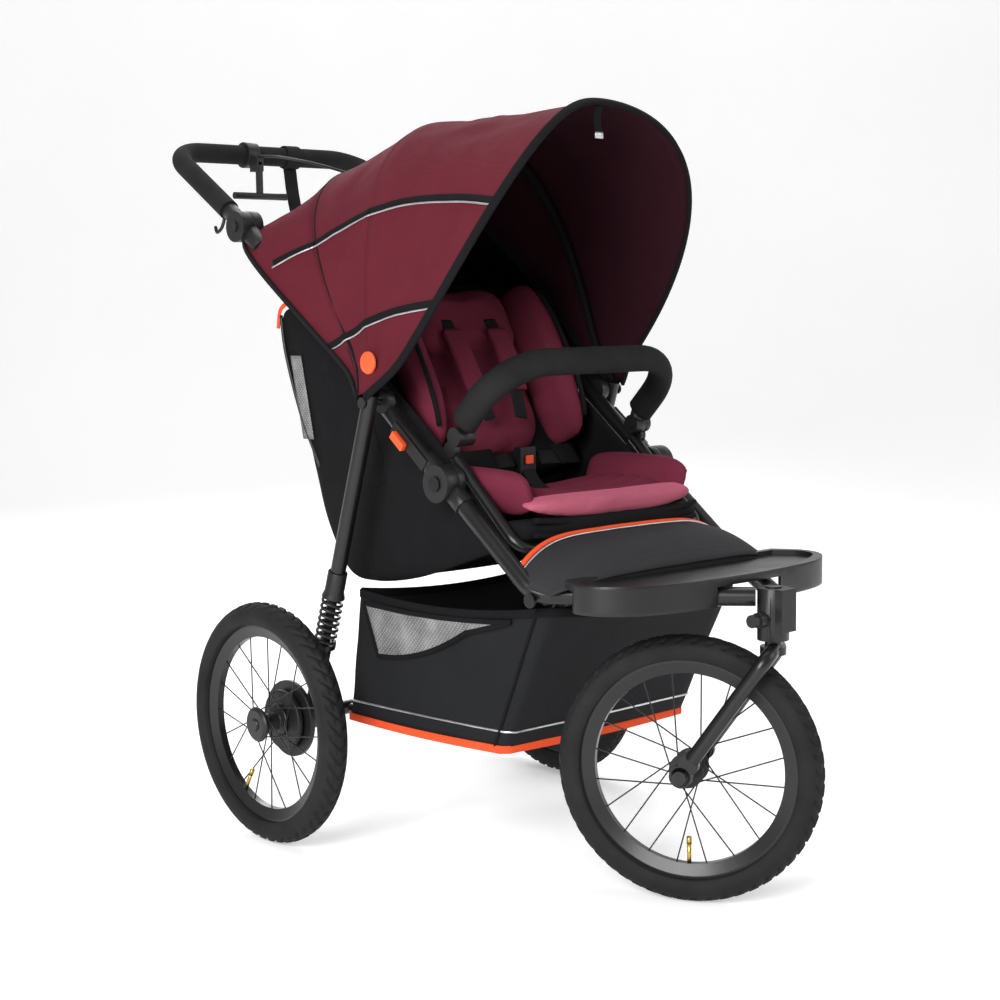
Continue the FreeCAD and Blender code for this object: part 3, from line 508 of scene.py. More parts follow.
# The seat liner again, made much lighter for the front roll: painted light on the lit front edge.
lit_liner_edge = fabric("seat_edge_cloth", (0.40, 0.095, 0.145), 0.003, 0.9, 0.3)
apron_cloth = fabric("apron_canvas", (0.030, 0.030, 0.033), 0.0026, 0.7, 0.05)
silver_tape = metal("reflective_tape", (0.62, 0.62, 0.62), 0.4)
orange_tape = fabric("orange_tape", (0.80, 0.085, 0.025), 0.002, 0.7, 0.1)
net = mesh_fabric("net", (0.30, 0.30, 0.30), (0.02, 0.02, 0.02))
brass = metal("brass", (0.62, 0.42, 0.12), 0.3)
webbing = fabric("black_webbing", (0.012, 0.012, 0.013), 0.0035, 0.75, 0.15, 0.0008)


def finish_piece(item, body, slot, material=None, replaced=(), flattens=True):
    """Gives a new piece its body and its material, by default that of its finish slot; soft pieces on a listed
    body get their own mesh.
    """
    if not item.data.materials:
        item.data.materials.append(material or MATERIALS[slot])
    if body:
        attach(item, body)
    if replaced:
        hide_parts(*replaced)
    if flattens and body in FLATTENED:
        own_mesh(item)
    return item


def cord(name, path, radius, body, slot, material=None, sides=8, closed=False):
    """A finished round cord along a path."""
    return finish_piece(pipe(name, path, radius, sides, closed), body, slot, material)


def tape(name, path, normals, size, body, slot, material=None, replaced=(), closed=False):
    """A finished flat strap along a path. The size is its width and thickness."""
    return finish_piece(band(name, path, normals, *size, closed), body, slot, material, replaced)


# ---------------------------------------------------------------- CAD nodes
def dress_cad_nodes():
    """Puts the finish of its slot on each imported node, and rounds the edges of the moulded ones."""
    for part in frame["record"]["subparts"]:
        item = frame["nodes"][part["node"]]
        item.data.materials.clear()
        item.data.materials.append(MATERIALS[part["material_slot"]])
        if part["material_slot"] in ("black_plastic", "orange_plastic", "dark_steel"):
            weld = item.modifiers.new("Weld", "WELD")
            weld.merge_threshold = 0.00002
            bevel = item.modifiers.new("Bevel", "BEVEL")
            bevel.width = 0.0012
            bevel.segments = 2
            bevel.limit_method = "ANGLE"
            bevel.angle_limit = math.radians(38)
            bevel.harden_normals = True


# ---------------------------------------------------------------- hood
# Each arch: turn about the pivot in degrees, half width, reach, how full its corners are, and how far its
# feet swing forward of its top in degrees.
REAR_HEM = (34.0, 0.254, 0.508, 8.0, 0.0)
BACK_CLOTH = (25.5, 0.206, 0.362, 5.0, 0.0)
REAR_HOOP = (50.3, 0.257, 0.504, 2.4, 0.0)
MIDDLE_HOOP = (77.8, 0.258, 0.465, 2.3, 0.0)
FRONT_RIM = (118.3, 0.256, 0.518, 2.8, 23.0)
RIM_EASE = 0.03
ARCH_COUNT = 97
ARCH_FOOT = 0.03
FOOT_FLARE = 0.030
FLARE_REACH = 0.055

# A panel of hood cloth: its two arches and their bodies, rows of points, how far it is drawn in between,
# the seed of its creases, how long it keeps the width of its first arch (1 for evenly), what it replaces.
Panel = namedtuple("Panel", "name first last body_a body_b rows sag seed hug replaced")
PANELS = [
    Panel("hood_rear_panel", REAR_HEM, REAR_HOOP, "upper_frame", "hood_rear", 11, 0.002, 1.0, 2.6, ()),
    Panel("hood_middle_panel", REAR_HOOP, MIDDLE_HOOP, "hood_rear", "hood_middle", 13, 0.004, 2.0, 1.0,
          ("hood_fabric",)),
    Panel("hood_front_panel", MIDDLE_HOOP, FRONT_RIM, "hood_middle", "hood_front", 19, 0.006, 5.0, 1.0, ()),
]
BACK_PANEL = Panel("hood_back_cloth", BACK_CLOTH, REAR_HEM, "upper_frame", "upper_frame", 9, 0.0, 9.0, 1.0,
                   ())
# The seams of the hood's sides as y and z of their points, with the steps between two points.
HOOD_SEAMS = {
    "upper": ([(0.270, 0.955), (0.13, 1.012), (-0.01, 1.043), (-0.143, 1.044), (-0.240, 1.035)], 40),
    "lower": ([(0.120, 0.815), (-0.02, 0.868), (-0.168, 0.888)], 60),
}


def arch_point(shape, share, inset=0.0):
    """A point of an arch, from the left foot (0) over the top to the right foot (1)."""
    turn, half, reach, square, lean = shape
    direction = ARCH_FOOT + (math.pi - 2 * ARCH_FOOT) * share
    along, up = -math.cos(direction), math.sin(direction)
    fullness = (abs(along) ** square + up ** square) ** (-1 / square)
    radial = (reach - inset) * fullness * up
    forward = math.sqrt(1 - up + RIM_EASE) - math.sqrt(RIM_EASE)
    angle = math.radians(turn + lean * forward)
    flare = FOOT_FLARE * math.exp(-(radial / FLARE_REACH) ** 2)
    across = (half - inset) * fullness * along + math.copysign(flare, along)
    return hood_pivot + Vector((across, radial * math.cos(angle), radial * math.sin(angle)))


def arch(shape, inset=0.0):
    """All points of an arch."""
    return [arch_point(shape, share, inset) for share in shares(ARCH_COUNT)]


def outward(path):
    """Directions away from the inside of the hood, at right angles to an arch."""
    middle = hood_pivot + Vector((0, 0.02, 0.12))
    spokes = [point - middle for point in path]
    return [(spoke - way * spoke.dot(way)).normalized() for spoke, way in zip(spokes, tangents(path))]


def hood_cloth(panel):
    """Cloth stretched from one arch to the next, drawn in between them, with soft creases."""
    start, end = arch(panel.first), arch(panel.last)
    inside = hood_pivot + Vector((0, 0.05, 0.15))
    rows = []
    for share in shares(panel.rows):
        slack = 4 * share * (1 - share)
        row = []
        for a, b in zip(start, end):
            point = a.lerp(b, share)
            point.x = a.x + (b.x - a.x) * share ** panel.hug
            far = min(1.0, (point - hood_pivot).length / 0.25)
            crease = 0.005 * ripple(point, 14, panel.seed) + 0.003 * ripple(point, 32, panel.seed + 3)
            pull = slack * (-panel.sag * far + crease * far)
            row.append(point + (point - inside).normalized() * pull)
        rows.append(row)
    item = sheet(panel.name, rows)
    item.data.materials.append(MATERIALS["wine_fabric"])
    # The inner face gets the lining that is darkened as painted shade.
    item.data.materials.append(hood_lining)
    item.data.flip_normals()
    return thicken(item, 0.0018, -1.0, 1)


def blend_between(item):
    """Bakes a hood piece's placing into its mesh."""
    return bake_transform(item)


def laid_on(surface, side, points, drop, lift):
    """Points of a side-view line pushed onto the hood from one side, and the surface's directions there."""
    path = []
    normals = []
    for y, z in points:
        hit, normal, _, _ = surface.ray_cast(Vector((side * 0.6, y, z - drop)), Vector((-side, 0, 0)))
        if hit is None:
            continue
        if normal.x * side < 0:
            normal = -normal
        path.append(hit + normal * lift)
        normals.append(normal)
    return path, normals


def seam_run(points, panel):
    """The points of a seam whose turn about the pivot lies on a panel."""
    low = panel.first[0] - 0.8
    high = panel.last[0] + (22 if panel.last is FRONT_RIM else 0.8)
    turn_of = {p: math.degrees(math.atan2(p[1] - hood_pivot.z, p[0] - hood_pivot.y)) for p in points}
    return [p for p in points if low <= turn_of[p] <= high]


def hood_seams(surface, panel, points, label):
    """Black binding and a silver cord laid on one panel along a side seam, on both sides."""
    for side_name, side in SIDES.items():
        name = "%s_%s_%%s_%s" % (panel.name, label, side_name)
        path, normals = laid_on(surface, side, points, 0.0, 0.0012)
        if len(path) < 3:
            continue
        blend_between(tape(name % "binding", path, normals, (0.011, 0.0022), None, "black_fabric"))
        path, normals = laid_on(surface, side, points, 0.0075, 0.0016)
        blend_between(cord(name % "cord", path, 0.0016, None, "black_fabric", silver_tape))


def build_hood():
    """Three panels between the arches with their seams, the cloth below the rear hem, and the bindings."""
    cloths = [hood_cloth(panel) for panel in PANELS]
    points = []
    faces = []
    for cloth in cloths:
        faces += [[len(points) + k for k in p.vertices] for p in cloth.data.polygons]
        points += [v.co.copy() for v in cloth.data.vertices]
    surface = BVHTree.FromPolygons(points, faces)
    for cloth, panel in zip(cloths, PANELS):
        finish_piece(cloth, None, "wine_fabric", replaced=panel.replaced)
        for label, (line, steps) in HOOD_SEAMS.items():
            seam = smooth_path([(0, y, z) for y, z in line], steps)
            hood_seams(surface, panel, seam_run([(p.y, p.z) for p in seam], panel), label)
        blend_between(cloth)
    back = hood_cloth(BACK_PANEL)
    back.data.materials.clear()
    finish_piece(back, "upper_frame", "black_fabric")
    for name, shape, body, inset, size, replaced in (
            ("hood_rim_binding", FRONT_RIM, "hood_front", -0.001, (0.013, 0.0065), ("hood_rim",)),
            ("hood_rear_hem", REAR_HEM, "upper_frame", -0.001, (0.012, 0.004), ()),
            ("hood_rear_hoop_sleeve", REAR_HOOP, "hood_rear", 0.005, (0.014, 0.007), ("hood_rear_hoop",)),
            ("hood_middle_hoop_sleeve", MIDDLE_HOOP, "hood_middle", 0.0135, (0.014, 0.007),
             ("hood_middle_hoop",))):
        path = arch(shape, inset)
        tape(name, path, outward(path), size, body, "black_fabric", replaced=replaced)
    build_hood_details()


def build_hood_details():
    """Round badge without a mark on both sides, and the tab that hangs inside the rim."""
    badge_profile = ((0.0, 0.0030), (0.012, 0.0030), (0.0165, 0.0026), (0.0178, 0.001), (0.0178, -0.002))
    for side_name, side in SIDES.items():
        centre = Vector((side * 0.268, hood_pivot.y + 0.002, hood_pivot.z + 0.062))
        rows = [[centre + Vector((side * lift, radius * math.cos(a), radius * math.sin(a)))
                 for a in turns(40)]
                for radius, lift in badge_profile]
        item = sheet("hood_badge_" + side_name, rows, True)
        face_outward(item, Vector((0, 0, centre.z)))
        finish_piece(item, "hood_middle", "orange_plastic")
    forward = Vector((0, -1, 0))
    top = arch_point(FRONT_RIM, 0.5, 0.004)
    path = smooth_path([top, top + Vector((0, 0.006, -0.02)), top + Vector((0, 0.002, -0.045))], 5)
    tape("hood_hang_tab", path, [forward] * len(path), (0.016, 0.002), "hood_front", "black_fabric")
    tip = [path[-1] + Vector((0, 0, d)) for d in (0.004, 0.0, -0.006)]
    tape("hood_hang_tip", tip, [forward] * 3, (0.018, 0.004), "hood_front", "black_fabric", silver_tape)


# ---------------------------------------------------------------- wheels
TYRE_ROUND = 0.023
TYRE_RING = 0.177
TYRE_REACH = 2.17
TREAD_COUNT = 52
TURN_COUNT = 832
CROSS_COUNT = 44
VALVE_FOOT = 0.1435


def clamped(value):
    """A value held between 0 and 1."""
    return max(0.0, min(1.0, value))


def tread(turn, across):
    """Height of the tread at a turn round the wheel and an angle across the tyre. Grooves are negative."""
    side = abs(across)
    if side > 0.86:
        rib = math.exp(-((side - 1.18) / 0.03) ** 2) + math.exp(-((side - 1.5) / 0.04) ** 2)
        return 0.0007 * rib
    phase = turn * TREAD_COUNT / (2 * math.pi) + side * 1.1
    beat = abs((phase % 1.0) - 0.5) * 2
    groove = clamped((0.38 - beat) / 0.12)
    rail = clamped((0.07 - abs(side - 0.30)) / 0.03)
    middle = clamped((0.05 - side) / 0.03)
    return -0.0028 * max(groove, rail * 0.8, middle * 0.6)


def build_tyre(name, centre, axis):
    """Air tyre with a chevron tread, sitting in the rim, with a brass valve inside it."""
    spin = Vector((0, 0, 1)).rotation_difference(axis).to_matrix()
    rows = []
    for turn in turns(TURN_COUNT):
        out = Vector((math.cos(turn), math.sin(turn), 0))
        row = []
        for j in range(CROSS_COUNT):
            angle = -TYRE_REACH + 2 * TYRE_REACH * j / (CROSS_COUNT - 1)
            radius = TYRE_ROUND + tread(turn, angle)
            local = out * (TYRE_RING + radius * math.cos(angle)) + Vector((0, 0, radius * math.sin(angle)))
            row.append(centre + spin @ local)
        rows.append(row)
    points = [p for row in rows for p in row]
    item = make_mesh(name + "_tyre_skin", points, grid_faces(TURN_COUNT, CROSS_COUNT, True, True))
    finish_piece(item, name, "tyre_rubber", replaced=(name + "_tyre",))
    wanted = Vector((0, 0, -1)) if name == "front_wheel" else Vector((0, 0.5, -0.87))
    out = (wanted - axis * wanted.dot(axis)).normalized()
    foot = centre + out * VALVE_FOOT
    stem = [foot, foot - out * 0.012, foot - out * 0.030]
    cord(name + "_valve", stem, 0.0032, name, "dark_steel", brass, 10)
    cap = [foot - out * 0.029, foot - out * 0.040]
    cord(name + "_valve_cap", cap, 0.0040, name, "dark_steel", brass, 10)


def build_wheels():
    """A tyre and a valve for each of the three wheels."""
    for name in ("rear_wheel_left", "rear_wheel_right", "front_wheel"):
        low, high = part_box(name + "_tyre")
        build_tyre(name, (low + high) / 2, Vector(find_joint("child", name)["axis"]).normalized())


# ---------------------------------------------------------------- suspension
COIL_LENGTH = 0.078
COIL_RADIUS = 0.0162
COILS = 7
COIL_STEPS = 28


def build_springs():
    """Coil springs on the rear legs."""
    up = Vector(find_joint("name", "rear_suspension")["axis"]).normalized()
    leg_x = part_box("spring_cups")[1].x - 0.0195
    level = Vector((1, 0, 0))
    upright = up.cross(level)
    for side_name, side in SIDES.items():
        top = Vector((side * leg_x, 0, 0)) + Vector((0, hood_pivot.y, hood_pivot.z)) - up * 0.3375
        path = []
        for i in range(COILS * COIL_STEPS + 1):
            turn = 2 * math.pi * i / COIL_STEPS
            share = i / (COILS * COIL_STEPS)
            ring = (level * math.cos(turn) + upright * math.sin(turn)) * COIL_RADIUS
            path.append(top - up * (COIL_LENGTH * share) + ring)
        item = pipe("suspension_coil_" + side_name, path, 0.0025, 10)
        replaced = ("suspension_springs",) if side < 0 else ()
        finish_piece(item, "rear_legs", "spring_steel", replaced=replaced)
        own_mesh(item)


# ---------------------------------------------------------------- bumper foam
FOAM_WIDE = 0.0235
FOAM_DEEP = 0.0182


def build_bumper():
    """Flattened foam sleeve over the bumper bar, wider across the bow than along it."""
    low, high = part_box("bumper_bar")
    half = (high.x - low.x) / 2 - 0.0175
    foot = Vector((0, high.y - 0.0125, low.z + 0.0125))
    tip = Vector((0, low.y + 0.0175, high.z - 0.0175))
    rise = (tip - foot).normalized()
    across = Vector((1, 0, 0)).cross(rise).normalized()
    run = (tip - foot).length
    bend = 0.092
    path = [foot + Vector((-half, 0, 0)) + rise * (run - bend) * k / 6 for k in range(6)]
    for start, centre_x in ((math.pi, -half + bend), (math.pi / 2, half - bend)):
        for k in range(13):
            turn = start - math.pi / 2 * k / 12
            path.append(foot + rise * (run - bend + bend * math.sin(turn))
                        + Vector((centre_x + bend * math.cos(turn), 0, 0)))
    path += [foot + Vector((half, 0, 0)) + rise * (run - bend) * k / 6 for k in range(5, -1, -1)]
    rows = []
    seam = []
    for point, way in zip(path, tangents(path)):
        inward = across.cross(way).normalized()
        rows.append([point + across * FOAM_WIDE * math.cos(a) + inward * FOAM_DEEP * math.sin(a)
                     for a in turns(28)])
        seam.append(point - across * 0.0226 + inward * 0.004)
    finish_piece(tube("bumper_foam", rows), "bumper", "foam_black", replaced=("bumper_bar",))
    cord("bumper_foam_seam", seam, 0.0016, "bumper", "black_fabric")


# ---------------------------------------------------------------- basket
RING_COUNT = 22
WALL_DRAW = 0.010
EDGE_DIP = 0.016


def basket_ring(share):
    """One level of the basket's wall, from the floor (0) to the top edge (1), as corner points."""
    front_y = -0.240 - 0.110 * share
    rear_y = 0.124 - 0.034 * share
    front_half = 0.201 + 0.006 * share
    rear_half = 0.224 + 0.001 * share
    front_z = 0.207 + 0.229 * share
    rear_z = 0.207 + 0.213 * share
    return [Vector((-front_half, front_y, front_z)), Vector((-rear_half, rear_y, rear_z)),
            Vector((rear_half, rear_y, rear_z)), Vector((front_half, front_y, front_z))]


def ring_points(corners, count, round_share=0.028):
    """A closed run round four corners, with the corners cut smooth."""
    path = []
    for i in range(4):
        a, b = corners[i], corners[(i + 1) % 4]
        for k in range(count):
            share = round_share + (1 - 2 * round_share) * k / (count - 1)
            path.append(a.lerp(b, share))
    return path


def basket_level(share, inset=0.0):
    """A smooth closed ring of the basket's wall, drawn in at mid height and dipping at the top edge."""
    corners = basket_ring(share)
    middle = sum(corners, Vector()) / 4
    points = []
    for index, point in enumerate(ring_points(corners, RING_COUNT)):
        along = (index % RING_COUNT) / (RING_COUNT - 1)
        slack = 4 * along * (1 - along)
        away = point - middle
        away.z = 0
        away.normalize()
        drawn = WALL_DRAW * math.sin(math.pi * share) * slack + inset
        fold = 0.004 * ripple(point, 12, 7.0) * math.sin(math.pi * min(1.0, share * 1.2))
        dip = EDGE_DIP * slack * share ** 3
        bow = 0.010 * slack * (1 - share) ** 2
        points.append(point - away * (drawn + fold) + away * bow - Vector((0, 0, dip)))
    return points


def ring_normals(path):
    """Level directions away from the middle of a closed ring."""
    middle = sum(path, Vector()) / len(path)
    normals = []
    for way, point in zip(tangents(path, True), path):
        away = Vector((way.y, -way.x, 0)).normalized()
        if away.dot(point - middle) < 0:
            away = -away
        normals.append(away)
    return normals


def build_basket():
    """Sagging fabric shell with an orange bottom binding, a silver cord and a black top binding."""
    walls = [basket_level(share) for share in shares(17)]
    foot = walls[0]
    centre = sum(foot, Vector()) / len(foot)
    floors = []
    for share in shares(9):
        sag = Vector((0, 0, 0.014 * (1 - share ** 2)))
        floors.append([centre.lerp(p, share * 0.985) - sag for p in foot])
    item = sheet("basket_shell", floors + walls, True)
    item.data.materials.append(MATERIALS["basket_fabric"])
    weld = item.modifiers.new("Weld", "WELD")
    weld.merge_threshold = 0.00001
    finish_piece(thicken(item, 0.002, 0.0), "lower_rails", "basket_fabric", replaced=("basket",))
    low = basket_level(0.0, -0.002)
    tape("basket_bottom_binding", low, ring_normals(low), (0.013, 0.004), "lower_rails", "basket_fabric",
         orange_tape, closed=True)
    cord("basket_silver_cord", basket_level(0.13, -0.0015), 0.0019, "lower_rails", "basket_fabric",
         silver_tape, closed=True)
    high = basket_level(0.985, -0.001)
    tape("basket_top_binding", high, ring_normals(high), (0.014, 0.0045), "lower_rails", "black_fabric",
         closed=True)
    for side_name, side in SIDES.items():
        build_basket_side(side_name, side)


def net_point(side, rise, along):
    """A point of a side wall's net window, from its curved lower edge up and from its rear end forward."""
    start = 0.06 + 0.10 * (1 - rise)
    share = start + (0.62 + 0.22 * rise - start) * along
    lower_edge = 0.52 + 0.30 * along ** 2.2
    level = lower_edge + (0.93 - lower_edge) * rise
    corners = basket_ring(level)
    rear, front = (corners[1], corners[0]) if side < 0 else (corners[2], corners[3])
    point = rear.lerp(front, share)
    slack = 4 * share * (1 - share)
    drawn = WALL_DRAW * math.sin(math.pi * level) * slack
    crumple = 0.0012 * ripple(point, 30, 2.0)
    return point + Vector((side * (0.0065 - drawn + crumple), 0, -EDGE_DIP * slack * level ** 3))


def build_basket_side(side_name, side):
    """The net window in the rear upper part of a side wall, its edge, and the front corner seam."""
    rows = [[net_point(side, rise, along) for along in shares(23)] for rise in shares(15)]
    item = cloth_sheet("basket_net_" + side_name, rows, (0, 0, 0.35), 0.001)
    finish_piece(item, "lower_rails", "basket_fabric", net)
    edge = rows[0] + [r[-1] for r in rows[1:]] + rows[-1][::-1][1:] + [r[0] for r in rows[::-1][1:-1]]
    tape("basket_net_edge_" + side_name, edge, [Vector((side, 0, 0))] * len(edge), (0.008, 0.003),
         "lower_rails", "black_fabric", closed=True)
    path = []
    for share in shares(17):
        corners = basket_ring(share)
        corner, rear = (corners[0], corners[1]) if side < 0 else (corners[3], corners[2])
        path.append(corner.lerp(rear, 0.045) + Vector((side * 0.002, 0.004, 0)))
    cord("basket_corner_seam_" + side_name, path, 0.0028, "lower_rails", "black_fabric")


# ---------------------------------------------------------------- seat
def seat_place(u, v):
    """Base of the seat pad: dished between raised sides, rising a little to the front."""
    y = -0.165 + 0.112 * v
    z = 0.556 + 0.030 * abs(u) ** 2.4 + 0.006 * v * v - 0.004 * v
    return Vector((u * 0.166, y, z)), Vector((0, 0, 1))


def front_roll_place(u, v):
    """The padded roll along the seat's front edge."""
    y = -0.268 - 0.008 * (1 - u * u) - 0.024 * v
    z = 0.571 + 0.010 * abs(u) ** 3 - 0.006 * v
    return Vector((u * 0.178, y, z)), Vector((0, -0.3, 0.95)).normalized()


def side_cushion_place(side):
    def place(u, v):
        """A cushion along one side of the seat, leaning in."""
        return (Vector((side * (0.172 + 0.012 * v), -0.160 + 0.112 * u, 0.596 + 0.036 * v)),
                Vector((-side * 0.95, 0, 0.3)).normalized())
    return place


def bag(name, outline, half_width, edge_share, seed, crease=0.005):
    """A closed sewn bag: an outline of y and z carried across, drawn in at both ends, with soft folds."""
    closed = smooth_path([(0, y, z) for y, z in outline], 6, True)
    count = len(closed)
    centre = sum(closed, Vector()) / count
    rows = []
    for across in spread(25):
        shrink = 1 - edge_share * abs(across) ** 4
        row = [Vector((across * half_width, 0, 0)) + centre + (p - centre) * shrink for p in closed]
        middle = sum(row, Vector()) / count
        rows.append([p + (p - middle).normalized() * crease * ripple(p, 11, seed) for p in row])
    points = [p for row in rows for p in row]
    faces = grid_faces(len(rows), count, False, True)
    for row_index, first_end in ((0, True), (len(rows) - 1, False)):
        hub = len(points)
        points.append(sum(rows[row_index], Vector()) / count)
        base = row_index * count
        for k in range(count):
            a, b = base + k, base + (k + 1) % count
            faces.append([b, a, hub] if first_end else [a, b, hub])
    return make_mesh(name, points, faces)


SLING_OUTLINE = [
    (-0.289, 0.530), (-0.289, 0.562), (-0.20, 0.552), (-0.10, 0.546), (0.02, 0.550), (0.15, 0.556),
    (0.186, 0.530), (0.150, 0.447), (0.06, 0.440), (-0.035, 0.458), (-0.200, 0.520)]
SIDE_CLOTH_LOW = [
    (-0.270, 0.528), (-0.160, 0.490), (-0.030, 0.450), (0.080, 0.434), (0.150, 0.446), (0.205, 0.520),
    (0.235, 0.600), (0.262, 0.680)]
SIDE_CLOTH_HIGH = [
    (-0.265, 0.540), (-0.190, 0.592), (-0.110, 0.650), (-0.040, 0.705), (0.030, 0.757), (0.080, 0.800),
    (0.120, 0.830), (0.160, 0.862)]


def build_seat():
    """Sling, padded seat, front roll with its piping, and side cushions."""
    sling = bag("seat_sling", SLING_OUTLINE, 0.190, 0.10, 3.0)
    finish_piece(sling, "chassis", "black_fabric", replaced=("seat_base",))
    cushion = puff(pad("seat_cushion", seat_place, 0.022, seams=(-0.4, 0.0, 0.4)), cap=0.007)
    rounder = cushion.modifiers.new("Rounder", "SUBSURF")
    rounder.levels = 1
    finish_piece(apply_modifiers(cushion), "chassis", "liner_fabric")
    roll = puff(pad("seat_front_roll", front_roll_place, 0.014), 0.004, cap=0.005)
    # The front roll wears the lighter copy of the liner, painted light.
    finish_piece(roll, "chassis", "liner_fabric", lit_liner_edge)
    for side_name, side in SIDES.items():
        wing = puff(pad("seat_side_cushion_" + side_name, side_cushion_place(side), 0.018, 20), cap=0.006)
        finish_piece(wing, "chassis", "liner_fabric")
    for label, drop in (("upper", 0.014), ("lower", 0.036)):
        edge = [front_roll_place(u, 1)[0] + Vector((0, 0.006, -drop)) for u in spread(31)]
        cord("seat_front_piping_" + label, edge, 0.0045, "chassis", "black_fabric", sides=10)
    build_seat_sides()


def build_seat_sides():
    """Loose black cloth that closes each side between the seat, the backrest and the main tube."""
    lower = smooth_path([(0, y, z) for y, z in SIDE_CLOTH_LOW], 8)
    upper = smooth_path([(0, y, z) for y, z in SIDE_CLOTH_HIGH], 8)
    for side_name, side in SIDES.items():
        rows = []
        for share in shares(17):
            swell = 0.010 * math.sin(math.pi * share)
            row = [low.lerp(high, share) for low, high in zip(lower, upper)]
            for point in row:
                fold = 0.008 * ripple(point, 15, 11.0) * math.sin(math.pi * min(1, share * 1.1))
                point.x = side * (0.193 + swell + fold)
            rows.append(row)
        item = cloth_sheet("seat_side_cloth_" + side_name, rows, (0, 0, 0.6), 0.0025)
        finish_piece(item, "chassis", "black_fabric")


# ---------------------------------------------------------------- backrest and pouch
BACK_OUTLINE = [
    (-0.020, 0.600), (0.000, 0.588), (0.012, 0.600), (0.090, 0.742), (0.166, 0.880), (0.158, 0.903),
    (0.140, 0.905), (0.060, 0.762), (-0.012, 0.628)]
POUCH_OUTLINE = [
    (0.014, 0.598), (0.095, 0.745), (0.176, 0.880), (0.250, 0.900), (0.318, 0.888), (0.312, 0.825),
    (0.286, 0.740), (0.256, 0.672), (0.220, 0.605), (0.185, 0.580), (0.090, 0.578)]


def on_back(across, height, out=0.0):
    """A point on the backrest: across, height up its slope and distance out of its rear face."""
    return BACK_FOOT + Vector((across, 0, 0)) + BACK_UP * height + BACK_OUT * out


def back_pad_place(u, v):
    """Base of the pad behind the child's back."""
    return on_back(u * 0.118, 0.175 + 0.150 * v, 0.028), BACK_OUT


def head_pad_place(u, v):
    """Base of the pad behind the child's head."""
    return on_back(u * 0.112, 0.268 + 0.068 * v, 0.044 + 0.012 * u * u), BACK_OUT


def wing_place(side):
    """The base of one side bolster."""
    def place(u, v):
        """A point of a bolster that stands forward of the backrest and is rounded at its top."""
        height = 0.185 + 0.150 * u
        reach = 0.055 + 0.048 * v + 0.012 * math.sin(math.pi * (u + 1) / 2)
        way = Vector((-side * 0.92, -0.2, 0.1)).normalized()
        return on_back(side * (0.150 + 0.014 * v), height, reach), way
    return place


def build_backrest():
    """Shell, back and head pads, side bolsters with black bindings."""
    shell = bag("backrest_shell", BACK_OUTLINE, 0.184, 0.12, 4.0, 0.002)
    finish_piece(shell, "backrest", "black_fabric", replaced=("backrest",))
    for name, place, thick in (("back_pad", back_pad_place, 0.020), ("head_pad", head_pad_place, 0.022)):
        finish_piece(puff(pad(name, place, thick), cap=0.007), "backrest", "liner_fabric")
    for side_name, side in SIDES.items():
        place = wing_place(side)
        item = puff(pad("backrest_bolster_" + side_name, place, 0.018), cap=0.006)
        finish_piece(item, "backrest", "liner_fabric")
        rim = [place(*rounded(u, 1))[0] for u in spread(25)]
        cord("bolster_binding_" + side_name, rim, 0.0042, "backrest", "black_fabric", sides=10)


def build_pouch():
    """Soft black pouch behind the seat with a net strip, a zip cord and its orange puller."""
    pouch = bag("rear_pouch_bag", POUCH_OUTLINE, 0.203, 0.10, 6.0, 0.007)
    finish_piece(pouch, "backrest", "black_fabric", replaced=("rear_pouch",))
    for side_name, side in SIDES.items():
        zip_path = smooth_path([(side * 0.2035, 0.315, 0.868), (side * 0.205, 0.300, 0.80),
                                (side * 0.204, 0.262, 0.70), (side * 0.202, 0.214, 0.615)], 10)
        cord("pouch_zip_" + side_name, zip_path, 0.003, "backrest", "black_plastic")
        rows = [[Vector((side * 0.2055, 0.226 + 0.032 * rise + 0.006 * k, 0.66 + 0.14 * rise))
                 for k in range(6)]
                for rise in shares(13)]
        item = cloth_sheet("pouch_net_" + side_name, rows, (0, 0.2, 0.7), 0.001)
        finish_piece(item, "backrest", "black_fabric", net)
    pull = smooth_path([(-0.196, 0.306, 0.890), (-0.203, 0.318, 0.876), (-0.205, 0.322, 0.846)], 5)
    item = band("pouch_zip_puller", pull, [Vector((-1, 0, 0))] * len(pull), 0.008, 0.003)
    finish_piece(item, "backrest", "orange_plastic", orange_tape, flattens=False)


# ---------------------------------------------------------------- apron
def apron_point(u, v, lift=0.0):
    """The calf apron: from its piped top edge (v = 0) down to the footrest (v = 1)."""
    drop = abs(u) ** 5
    top = Vector((u * 0.240, -0.300 - 0.004 * drop, 0.536 - 0.060 * drop))
    foot = Vector((u * 0.240, -0.430 + 0.046 * drop, 0.4925 - 0.026 * drop))
    point = top.lerp(foot, v)
    swell = 0.016 * math.sin(math.pi * v) * (1 - drop)
    return point + Vector((0, -0.45, 0.9)) * (swell + lift + 0.0015 * ripple(point, 14, 8.0))


def build_apron():
    """Cloth from the seat's front edge down to the footrest, with orange piping and a silver cord."""
    columns = spread(61)
    rows = [[apron_point(u, v) for u in columns] for v in shares(15)]
    item = cloth_sheet("calf_apron_cloth", rows, (0, -0.2, 0.4), 0.003)
    finish_piece(item, "chassis", "basket_fabric", apron_cloth, ("calf_apron",))
    edge = [apron_point(u * 0.955, 0.0, 0.002) for u in columns]
    cord("apron_orange_piping", edge, 0.0046, "chassis", "basket_fabric", orange_tape, 10)
    line = [apron_point(u * 0.955, 0.075, 0.0022) for u in columns]
    cord("apron_silver_cord", line, 0.0016, "chassis", "basket_fabric", silver_tape)


